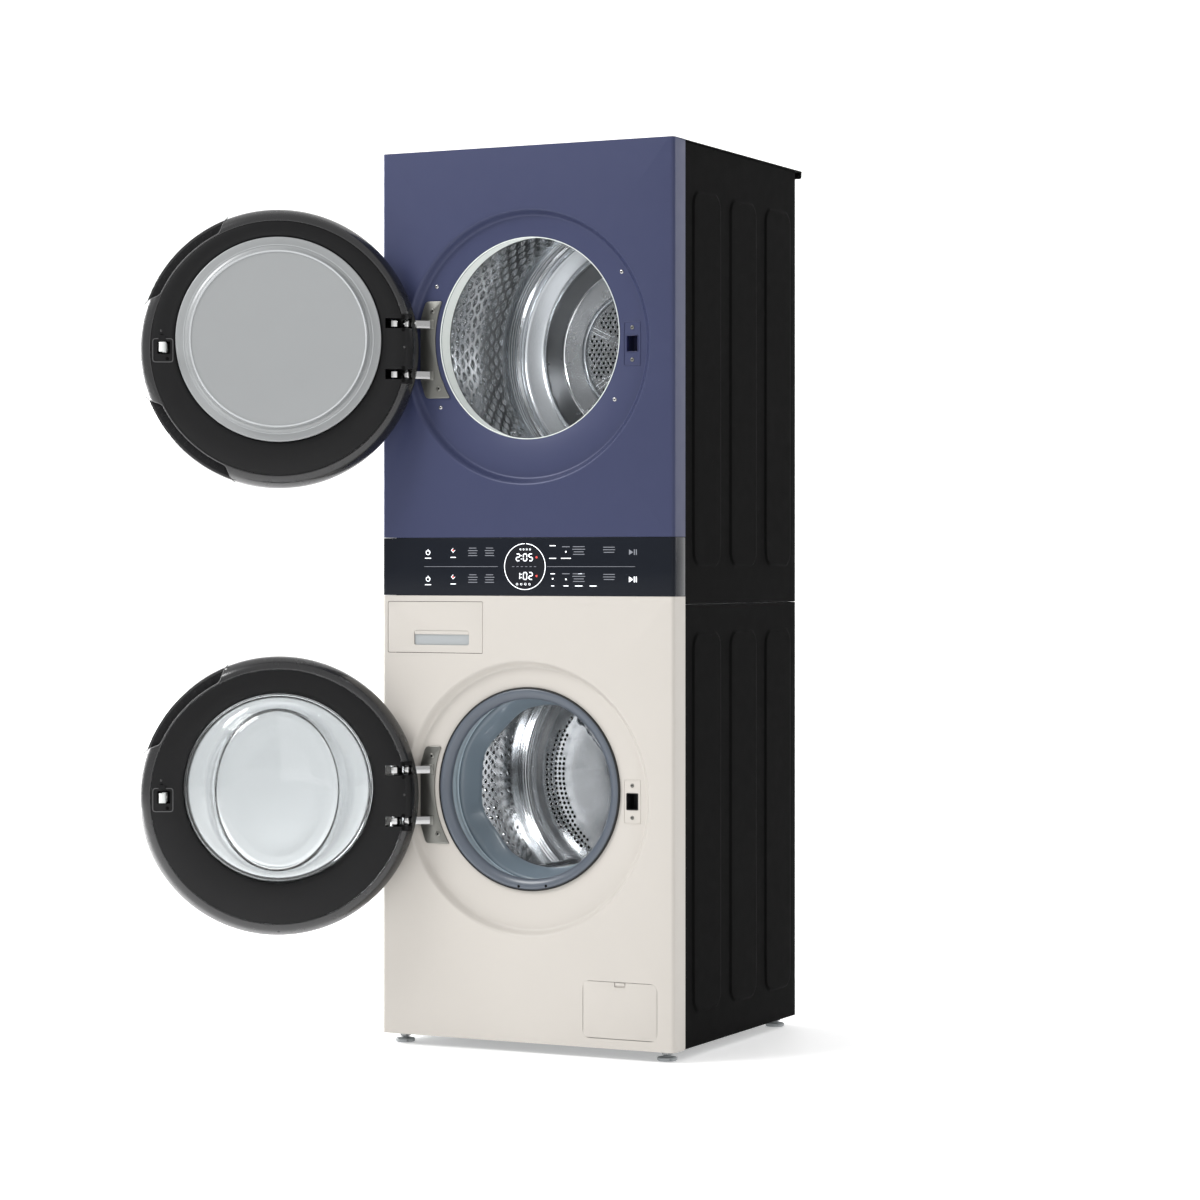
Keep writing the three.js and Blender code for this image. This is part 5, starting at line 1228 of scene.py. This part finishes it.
# ---------------------------------------------------------------- drums
def bump_stamp(name, length, width, height, material, rows=3, steps=10):
    """A smooth raised oval that stands along +Z."""
    verts = [(0, 0, height)]
    for k in range(1, rows + 1):
        t = k / rows
        level = height * (0.5 + 0.5 * math.cos(math.pi * t))
        for i in range(steps):
            a = 2 * math.pi * i / steps
            verts.append((length * t * math.cos(a), width * t * math.sin(a), level))
    faces = [(0, 1 + i, 1 + (i + 1) % steps) for i in range(steps)]
    for k in range(rows - 1):
        for i in range(steps):
            a, b = 1 + k * steps + i, 1 + k * steps + (i + 1) % steps
            faces.append((a, a + steps, b + steps, b))
    return new_piece(name, verts, faces, material, crease=80)


DIMPLE = bump_stamp("dimple stamp", 14.0 * MM, 8.6 * MM, 5.4 * MM, MIRROR)
PEARL = bump_stamp("pearl stamp", 6.2 * MM, 6.2 * MM, 3.2 * MM, MIRROR)
COLLAR = stamp_from("punched hole stamp",
                    scaled([(0, 0.1), (2, 0.1), (2.1, 0.3), (2.9, 0.7), (3.7, 0), (0, 0)]), 12, BRUSHED)
# Black cores painted into the drums' perforations: painted shade.
PERFORATION_SHADE = stamp_from("hole core stamp", scaled([(0, 0.75), (2.3, 0.75), (2.4, 0.2), (0, 0.2)]), 12, HOLE_SHADE)
STAMP_SOURCES += [DIMPLE, PEARL, COLLAR, PERFORATION_SHADE]


def spun(piece, z, degrees):
    """Turns a piece that was made at the top of a circle about the Y axis at height z."""
    piece.data.transform(Matrix.Translation((0, 0, z)) @ Matrix.Rotation(math.radians(degrees), 4, "Y"))
    return piece


def on_wall(radius, z, angle, y):
    """A point on a drum's inner wall and the way it faces."""
    return ((radius * math.sin(angle), y, z + radius * math.cos(angle)),
            (-math.sin(angle), 0, -math.cos(angle)))


def dryer_drum():
    z = MOUTH["dryer"]
    y0, y1 = low("dryer_drum_shell")[Y], high("dryer_drum_shell")[Y]
    r = DRUM_RADIUS["dryer"]
    inner = r - DRUM_SHEET
    lip = MOUTH_RADIUS["dryer"] + 9 * MM
    ribs = []
    for k in range(3):
        y = y1 - 66 * MM + k * 10 * MM
        ribs += scaled([(0, 0), (1.7, 0.5), (1.7, 3.2), (0, 3.8)], inner, y)
    ribs += scaled([(0, -30), (-4, -26), (-4, -4)], inner, y1)
    inside = [(lip, y0 + 2.6 * MM), (r - 11 * MM, y0 + 2.6 * MM),
              (inner, y0 + 11 * MM)] + ribs + [(inner, y1)]
    outside = [(r, y1), (r, y0 + 10 * MM), (r - 9 * MM, y0), (lip, y0)]
    shell = turned("shell", inside + outside, z, MIRROR, steps=200, crease=24)
    places = []
    rows, columns = 17, 60
    for row in range(rows):
        y = y0 + 22 * MM + row * (y1 - y0 - 100 * MM) / rows
        for k in range(columns):
            a = 2 * math.pi * (k + 0.5 * (row % 2)) / columns
            places.append(on_wall(inner + 0.2 * MM, z, a, y))
    dimples = stamped("dimples", places, DIMPLE, MIRROR, 1.0, 0.15)
    dress(merged("dryer_drum_wall", [shell, dimples]), "dryer_drum", "stainless", "dryer_drum_shell")


SPOKE_TURN = 55


def dryer_rear():
    """Stepped rear wall: a bright cone, dark and grey bands, a rolled rim and a sieve between radial ribs."""
    z = MOUTH["dryer"]
    y = high("dryer_drum_shell")[Y]
    back = high("dryer_drum_back")[Y]

    cone = turned("cone",
                  scaled([(261.5, 3), (261.5, -17), (257, -18.5), (253, -18), (250, -15), (246, -13.6),
                          (222, -4.4), (218, -2), (215, 0.5), (213, 0.5), (213, 3)], 0, y), z, CONE_STEEL,
                  steps=200, crease=34)
    dark = turned("dark",
                  scaled([(213.5, 0.4), (211.5, 0.4), (209.5, -3.2), (207, -4.2), (176, -4.2),
                          (173.5, -4.8), (173.5, 2), (213.5, 2)], 0, y), z, DARK_STEEL, steps=200,
                  crease=34)
    ridge = turned("ridge",
                   scaled([(174, -4.6), (173, -7.6), (171.6, -8.8), (170.2, -7.8), (169.2, -8.6),
                           (167.8, -9.8), (166, -8.9), (165, -8.0), (165, 2), (174, 2)], 0, y), z, MIRROR,
                   steps=200, crease=60)
    band = turned("band", scaled([(165.5, -8), (133, -8), (129, -8.6), (129, 2), (165.5, 2)], 0, y), z,
                  BRUSHED, steps=200)
    rim = turned("rim",
                 scaled([(129.5, -8.2), (127, -9.6), (124.4, -12.2), (121.6, -13.0), (119.2, -11.4),
                         (117.8, -7.0), (117.8, 2), (129.5, 2)], 0, y), z, CONE_STEEL, steps=160, crease=60)
    sieve = turned("sieve", scaled([(0, -6.4), (118, -6.4), (118, 2), (0, 2)], 0, y), z, BRUSHED, steps=120)
    shaft = turned("shaft", [(0, y + 2 * MM), (12 * MM, y + 2 * MM), (12 * MM, back), (0, back)], z, ZINC,
                   steps=40)
    outer = turned("outer", scaled([(30, 2), (257.5, 2), (257.5, 4), (26, 10), (12.5, 10), (12.5, 4)], 0,
                                   y), z, ZINC, steps=120)
    hub = turned("hub", scaled([(0, -12), (13, -12), (17, -10.5), (20, -7), (20, -6), (0, -6)], 0, y), z,
                 MIRROR, steps=60)
    spokes = []
    for k in range(6):
        for s in (-1, 1):
            bar = block("bar", (s * 4.2 * MM - 1.6 * MM, y - 8.6 * MM, 18 * MM),
                        (s * 4.2 * MM + 1.6 * MM, y - 6 * MM, 119 * MM), MIRROR, 1.1 * MM)
            spokes.append(spun(bar, z, 60 * k + SPOKE_TURN))
    places = []
    pitch = 10.2 * MM
    for row in range(-13, 14):
        for col in range(-13, 14):
            px = (col + 0.5 * (row % 2)) * pitch
            pz = row * pitch * 0.866
            reach = math.hypot(px, pz)
            if not 24 * MM < reach < 113 * MM:
                continue
            spoke = (math.degrees(math.atan2(px, pz)) - SPOKE_TURN) % 60
            off = reach * math.sin(math.radians(min(spoke, 60 - spoke)))
            if off < 10 * MM:
                continue
            places.append(((px, y - 6.4 * MM, z + pz), TOWARDS_FRONT))
    collars = stamped("collars", places, COLLAR, BRUSHED)
    dots = stamped("dots", places, PERFORATION_SHADE, HOLE_SHADE)
    parts = [cone, dark, ridge, band, rim, sieve, shaft, outer, hub, collars, dots] + spokes
    dress(merged("dryer_drum_rear", parts), "dryer_drum", "stainless", "dryer_drum_back")


def dryer_funnel():
    """Pale funnel behind the dryer's mouth, the bright rim of the mouth and the plate that faces the drum; funnel,
    plate and rim carry a faint painted glow.
    """
    z = MOUTH["dryer"]
    r = MOUTH_RADIUS["dryer"]
    y0 = DISH_BACK + GAP
    plate = FRONT + 52 * MM
    ring = turned("ring", [(r + 0.2 * MM, y0), (r + 0.6 * MM, y0 + 8 * MM), (r + 3 * MM, y0 + 22 * MM),
                           (r + 3 * MM, FRONT + 56 * MM), (261 * MM, FRONT + 56 * MM), (261 * MM, plate),
                           (r + 7 * MM, plate), (r + 4 * MM, y0)], z, GLOWING_SEAL, steps=200)
    felt = turned("felt", scaled([(4, 56), (4, 60.5), (9, 60.5), (9, 56)], r, FRONT), z, RUBBER, steps=160)
    x0, x1, z0, z1 = grown("lint_filter", 2.4 * MM)
    y_lo, y_hi = low("lint_filter")[Y] - 2.4 * MM, high("lint_filter")[Y] + 2.4 * MM
    well = block("well", (x0 - 2.4 * MM, y_lo - 2 * MM, z0 - 2 * MM),
                 (x1 + 2.4 * MM, y_hi + 2 * MM, z1 - 8 * MM), GREY_MOULD, 1 * MM)
    room = block("cutter", (x0 + 1 * MM, y_lo + 1 * MM, z0 + 1.6 * MM),
                 (x1 - 1 * MM, y_hi - 1 * MM, z1 + 20 * MM), GREY_MOULD)
    slot = block("cutter", (x0 + 1 * MM, y_lo + 1 * MM, z0 + 1.6 * MM),
                 (x1 - 1 * MM, y_hi - 1 * MM, z1 + 40 * MM), GLOWING_SEAL)
    ring = carve(ring, [slot], crease=40)
    well = carve(well, [room])
    dress(merged("dryer_funnel", [ring, felt, well]), "cabinet", "grey_plastic", "dryer_bulkhead")
    # The mouth's bright rim carries the seal's painted glow.
    trim = turned("dryer_mouth_trim",
                  scaled([(-0.1, 3), (-0.6, 1.6), (-0.5, -0.2), (0.2, -0.6), (0.9, -0.4), (1, 0.2),
                          (0.6, 0.5), (0.1, 1.5)], r, DISH_FLOOR), z, GLOWING_SEAL, steps=200, crease=70)
    dress(trim, "cabinet", "grey_plastic")


def lint_screen():
    """Mesh cassette under the dryer's mouth."""
    lo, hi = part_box("lint_filter")
    body = block("body", (lo[X], lo[Y], lo[Z]), (hi[X], hi[Y], hi[Z] - 5.2 * MM), CHARCOAL, 1 * MM)
    rooms, meshes = [], []
    for k in (-1, 0, 1):
        x = k * 56 * MM
        rooms.append(block("cutter", (x - 24 * MM, lo[Y] - 5 * MM, lo[Z] + 10 * MM),
                           (x + 24 * MM, hi[Y] + 5 * MM, hi[Z] - 22 * MM), CHARCOAL, 2 * MM))
        wires = [block("wire", (x - 25 * MM, middle("lint_filter", Y) - 0.3 * MM, lo[Z] + w * MM),
                       (x + 25 * MM, middle("lint_filter", Y) + 0.3 * MM, lo[Z] + (w + 0.9) * MM), ZINC)
                 for w in np.arange(12, (hi[Z] - lo[Z]) / MM - 22, 3.0)]
        wires += [block("wire", (x + w * MM, middle("lint_filter", Y) - 0.5 * MM, lo[Z] + 9 * MM),
                        (x + (w + 0.9) * MM, middle("lint_filter", Y) + 0.1 * MM, hi[Z] - 21 * MM), ZINC)
                  for w in np.arange(-24, 24, 3.0)]
        meshes += wires
    body = carve(body, rooms)
    grip = block("grip", (-30 * MM, hi[Y] - 5 * MM, hi[Z] - 7 * MM), (30 * MM, hi[Y], hi[Z]), CHARCOAL,
                 1.2 * MM)
    dress(merged("lint_cassette_body", [body, grip] + meshes), "lint_cassette", "dark_plastic",
          "lint_filter")


def gasket_shape(name, rings, z, material, lobes=None, steps=240):
    """A soft ring from (radius, y) sections; lobes(number, angle) says how far a section bulges in."""
    verts, rows = [], []
    for number, (r, y) in enumerate(rings):
        rows.append(list(range(len(verts), len(verts) + steps)))
        for k in range(steps):
            a = 2 * math.pi * k / steps
            inward = lobes(number, a) if lobes else 0.0
            verts.append(((r - inward) * math.sin(a), y, z + (r - inward) * math.cos(a)))
    return new_piece(name, verts, wound(rows, True), material, crease=60)


def washer_gasket():
    """Slate outer roll, pale funnel and inner folds that swell in five places, all one rubber whose tones are
    painted light and shade; drain dots, a black edge line.
    """
    z = MOUTH["washer"]
    r = 185.0 * MM
    outer = turned("roll",
                   scaled([(0, 30), (0, 15), (-1.6, 12.4), (-5, 11.2), (-9.5, 11.6), (-13.5, 13.4),
                           (-17.5, 16), (-20.4, 19.8), (-20.8, 24), (-19, 29.5), (-13, 35), (-6, 36)], r,
                          FRONT), z, GASKET, steps=220, crease=80)
    rings = scaled([(-17, 31), (-15.5, 44), (-12.5, 58), (-8, 62), (-12, 68), (-1, 72), (-1, 60),
                    (-2.5, 40), (-8, 33)], r, FRONT)
    funnel = gasket_shape("funnel", rings, z, GASKET_LIT_FUNNEL)
    fold = [(-1, 80), (-6, 70), (-11, 66.5), (-15, 67), (-18, 71), (-24, 84), (-31, 97), (-34, 103),
            (-34.5, 106), (-32, 107.5), (-26, 104), (-14, 92), (-4, 84)]
    share = (0, 0, 0.2, 0.35, 0.5, 0.8, 1.0, 1.0, 1.0, 0.9, 0.5, 0.1, 0)
    swells = [(-44, 26, 7), (-88, 24, 5), (-128, 22, 7), (30, 26, 4), (120, 28, 4)]

    def lobes(number, a):
        degrees = (math.degrees(a) + 180) % 360 - 180
        swell = sum(h * (1 - lift(abs((degrees - mid + 180) % 360 - 180) / wide))
                    for mid, wide, h in swells)
        return share[number] * swell * MM

    inner = gasket_shape("folds", scaled(fold, r, FRONT), z, GASKET_FOLD_SHADE, lobes)
    line = turned("line", [(r + 0.9 * MM, DISH_FLOOR + 2.8 * MM), (r - 1.6 * MM, FRONT + 12.6 * MM),
                           (r - 1.6 * MM, FRONT + 11.3 * MM), (r + 0.3 * MM, FRONT + 11.0 * MM),
                           (r + 1.2 * MM, FRONT + 13.2 * MM), (r + 1.3 * MM, DISH_FLOOR + 0.3 * MM)], z,
                  RUBBER, steps=220, crease=80)
    spots = []
    for degrees in (168, 186):
        a = math.radians(degrees)
        reach = r - 6 * MM
        spots.append(((reach * math.sin(a), FRONT + 11.1 * MM, z + reach * math.cos(a)), TOWARDS_FRONT))
    dots = stamped("dots", spots, HOLE_SHADE_DISC, HOLE_SHADE, 1.0)
    dress(merged("washer_gasket_body", [outer, funnel, inner, line, dots]), "cabinet", "grey_rubber",
          "washer_gasket")


def washer_drum():
    z = MOUTH["washer"]
    y0, y1 = low("washer_drum_shell")[Y], high("washer_drum_shell")[Y]
    r = DRUM_RADIUS["washer"]
    inner = r - DRUM_SHEET
    lip = MOUTH_RADIUS["washer"] + 4 * MM
    seams = []
    for k, y in enumerate((y1 - 44 * MM, y1 - 32 * MM, y1 - 21 * MM)):
        seams += scaled([(0, 0), (-2.4, 2.2), (-2.4, 5), (0, 7.2)], inner, y)
    inside = [(lip, y0 + 2.6 * MM), (r - 13 * MM, y0 + 2.6 * MM),
              (inner, y0 + 13 * MM)] + seams + [(inner, y1)]
    outside = [(r, y1), (r, y0 + 12 * MM), (r - 12 * MM, y0), (lip, y0)]
    shell = turned("shell", inside + outside, z, MIRROR, steps=200, crease=24)
    bars = []
    for degrees in LIFTERS:
        section = smooth_line([(-35, 1), (-31, -6), (-20, -20), (-8, -27), (0, -28.4), (8, -27), (20, -20),
                               (31, -6), (35, 1)], 4)
        outline = [(x * MM, (inner / MM + h) * MM) for x, h in section]
        rise = ((y0 + 24 * MM, 0.02), (y0 + 36 * MM, 0.2), (y0 + 58 * MM, 0.7), (y0 + 80 * MM, 1.0),
                (y1 - 10 * MM, 1.0))
        verts = [(px, y, inner + (pz - inner) * share) for y, share in rise for px, pz in outline]
        rows = rings_of(len(outline), len(rise))
        bar = new_piece("bar", verts, wound(rows) + [rows[0], rows[-1]], MIRROR)
        bars.append(spun(bar, z, degrees))

    def to_lifter(degrees):
        """Degrees to the nearest lifter."""
        return min(abs((degrees - d + 180) % 360 - 180) for d in LIFTERS)

    pearls, holes = [], []
    columns, sparse, clearance = 84, 42, 10
    for row in range(11):
        y = -72 * MM + row * 12.5 * MM
        for k in range(columns):
            a = 2 * math.pi * (k + 0.5 * (row % 2)) / columns
            if to_lifter(math.degrees(a)) < clearance:
                continue
            (pearls if row % 2 == 0 or k % 3 == 0 else holes).append(on_wall(inner + 0.1 * MM, z, a, y))
    for y in (-128 * MM, -104 * MM, 78 * MM, 104 * MM):
        pearls += [on_wall(inner + 0.2 * MM, z, 2 * math.pi * (k + 0.5) / sparse, y) for k in range(sparse)
                   if to_lifter(360 * (k + 0.5) / sparse) > clearance]
    bumps = stamped("bumps", pearls, PEARL, MIRROR, 1.0, 0.1)
    rims = stamped("rims", holes, COLLAR, MIRROR, 1.5)
    dots = stamped("dots", holes, PERFORATION_SHADE, HOLE_SHADE, 1.25)
    dress(merged("washer_drum_wall", [shell, bumps, rims, dots] + bars), "washer_drum", "stainless",
          "washer_drum_shell")


def washer_rear():
    """Rear wall pressed into three broad lobes, with crescents of holes between raised arms."""
    z = MOUTH["washer"]
    y = high("washer_drum_shell")[Y]
    back = high("washer_drum_back")[Y]
    edge = 239 * MM
    arms = [math.radians(d) for d in REAR_ARMS]

    def to_arm(a):
        """Angle to the nearest arm."""
        return min(abs((a - b + math.pi) % (2 * math.pi) - math.pi) for b in arms)

    def wall(r, a):
        """Where the pressed wall stands at a radius and angle; never behind its rear face."""
        base = -6 - 6 * lift((r / MM - 200) / 34) - 9 * (1 - lift(r / MM / 150))
        across = to_arm(a) * r / MM
        arm = (1 - lift((across - 19) / 5)) * lift((r / MM - 40) / 20) * (1 - lift((r / MM - 205) / 18))
        pocket = 4.5 * math.exp(-((r / MM - 178) / 24) ** 2) * (1 - arm)
        return min(y + (base - 11 * arm + pocket) * MM, y - 1 * MM)

    radii = [0.5 * MM] + [v * MM for v in list(range(8, 236, 4))] + [edge]
    angles = np.linspace(0, 2 * math.pi, 216, endpoint=False)
    verts = [(r * math.sin(a), wall(r, a), z + r * math.cos(a)) for r in radii for a in angles]
    verts += [(edge * math.sin(a), y, z + edge * math.cos(a)) for a in angles]
    rows = rings_of(len(angles), len(radii) + 1)
    skin = new_piece("skin", verts, [rows[0]] + wound(rows) + [rows[-1]], PRESSED, crease=50)
    places = []
    for k in range(5):
        r = (161 + 9.2 * k) * MM
        steps = int(2 * math.pi * r / (9.8 * MM))
        for i in range(steps):
            a = 2 * math.pi * (i + 0.5 * (k % 2)) / steps
            if abs(k - 2) > 2.6 * math.cos((math.pi / 3 - to_arm(a)) * 1.75):
                continue
            places.append(((r * math.sin(a), wall(r, a) - 0.2 * MM, z + r * math.cos(a)), TOWARDS_FRONT))
    collars = stamped("collars", places, COLLAR, BRUSHED)
    dots = stamped("dots", places, PERFORATION_SHADE, HOLE_SHADE)
    shaft = turned("shaft", [(0, y), (16 * MM, y), (16 * MM, y + 10 * MM), (12.3 * MM, y + 10 * MM),
                             (12.3 * MM, back), (0, back)], z, ZINC, steps=40)
    spider = []
    for degrees in (90, 210, 330):
        arm = block("arm", (0, y - 0.4 * MM, -13 * MM), (223 * MM, y + 8 * MM, 13 * MM), CONCRETE, 2 * MM)
        spider.append(spun(arm, z, degrees))
    dress(merged("washer_drum_rear", [skin, collars, dots, shaft] + spider), "washer_drum", "stainless",
          "washer_drum_back")


# ---------------------------------------------------------------- camera, light, backdrop
def camera_and_light():
    scene = bpy.context.scene
    lens = bpy.data.cameras.new("camera")
    lens.lens = 98.0
    lens.sensor_width = 36.0
    lens.shift_y = -0.0292
    eye = bpy.data.objects.new("camera", lens)
    eye.location = (2.76, -5.56, 0.871)
    eye.rotation_euler = (math.radians(90), 0, math.radians(26.28))
    scene.collection.objects.link(eye)
    scene.camera = eye
    scene.view_settings.view_transform = "Standard"

    world = bpy.data.worlds.new("soft room")
    world.use_nodes = True
    world.node_tree.nodes["Background"].inputs["Color"].default_value = (1, 1, 1, 1)
    world.node_tree.nodes["Background"].inputs["Strength"].default_value = 0.72
    scene.world = world

    def panel(name, at, aim, width, height, power):
        light = bpy.data.lights.new(name, "AREA")
        light.shape = "RECTANGLE"
        light.size = width
        light.size_y = height
        light.energy = power
        lamp = bpy.data.objects.new(name, light)
        lamp.location = at
        lamp.rotation_euler = (Vector(aim) - Vector(at)).to_track_quat("-Z", "Y").to_euler()
        scene.collection.objects.link(lamp)

    panel("key", (-2.3, -2.6, 3.9), (0, -0.2, 0.9), 1.8, 1.8, 150)
    panel("fill", (2.4, -3.6, 1.4), (0, 0, 0.8), 2.0, 2.4, 10)
    panel("edge light", (-3.4, 0.5, 1.3), (-0.6, -0.45, 0.9), 1.6, 2.8, 210)
    panel("upper drum lamp", (0.13, FRONT + 0.075, MOUTH["dryer"] + 0.12), (-0.2, 0, MOUTH["dryer"]), 0.05,
          0.05, 0.35)
    panel("lower drum lamp", (0.10, FRONT + 0.17, MOUTH["washer"] + 0.13), (-0.1, 0.28, MOUTH["washer"]),
          0.05, 0.05, 0.35)
    panel("rear", (2.2, 2.6, 2.4), (0.2, 0, 0.9), 1.2, 2.4, 6)

    ground = surface("pale studio floor", (0.93, 0.93, 0.93), 0.6, shade=0.01, bump=0.02, bump_scale=40,
                     glow=0.32)
    sweep = [(-9, FOOT), (2.2, FOOT)]
    sweep += [(2.2 + 2.2 * math.sin(t), FOOT + 2.2 * (1 - math.cos(t)))
              for t in np.linspace(0.1, math.pi / 2, 14)]
    sweep.append((4.4, 8.0))
    verts = [(x, y, z) for y, z in sweep for x in (-9.0, 9.0)]
    faces = [(2 * k, 2 * k + 1, 2 * k + 3, 2 * k + 2) for k in range(len(sweep) - 1)]
    floor = new_piece("studio_floor", verts, faces, ground)


# ---------------------------------------------------------------- inner parts that keep their shape
INNER = {
    "zinc_steel": ZINC, "dark_plastic": CHARCOAL, "grey_plastic": GREY_MOULD, "black_rubber": RUBBER,
    "motor_paint": MOTOR, "coil_aluminium": COIL, "board_green": BOARD, "concrete_grey": CONCRETE,
    "stainless": BRUSHED, "grey_rubber": GASKET, "black_paint": BLACK_SHEET, "beige_plastic": BEIGE_MOULD,
    "blue_paint": BLUE, "beige_paint": BEIGE, "fascia_black": FASCIA, "smoked_glass": SMOKED,
    "clear_glass": CLEAR, "frosted_panel": FROSTED, "gloss_plastic": RIM_GLOSS,
}


def paint_frame():
    for part in frame["record"]["subparts"]:
        node = frame["nodes"][part["node"]]
        node.data.materials.clear()
        node.data.materials.append(INNER[part["material_slot"]])


# ---------------------------------------------------------------- build
paint_frame()
camera_and_light()
washer_front()
dryer_front()
control_fascia()
control_symbols()
for prefix in ("washer", "dryer"):
    side_casing(prefix, "left", -1)
    side_casing(prefix, "right", 1)
    hinge_plate(prefix)
    latch_plate(prefix)
    door_rim(prefix)
    door_frame(prefix)
    door_cover(prefix)
    door_hook(prefix)
    back_details(prefix)
dryer_glass()
washer_glass()
dryer_drum()
dryer_rear()
dryer_funnel()
lint_screen()
washer_gasket()
washer_drum()
washer_rear()
top_lid()
dish_screws()
drawer_front()
flap()
seam_shadow("drawer_seam", "detergent_drawer", 0.8 * MM, 2.5 * MM)
seam_shadow("flap_seam", "filter_cover", 0.8 * MM, 10 * MM)
feet()

for source in STAMP_SOURCES:
    bpy.data.objects.remove(source)
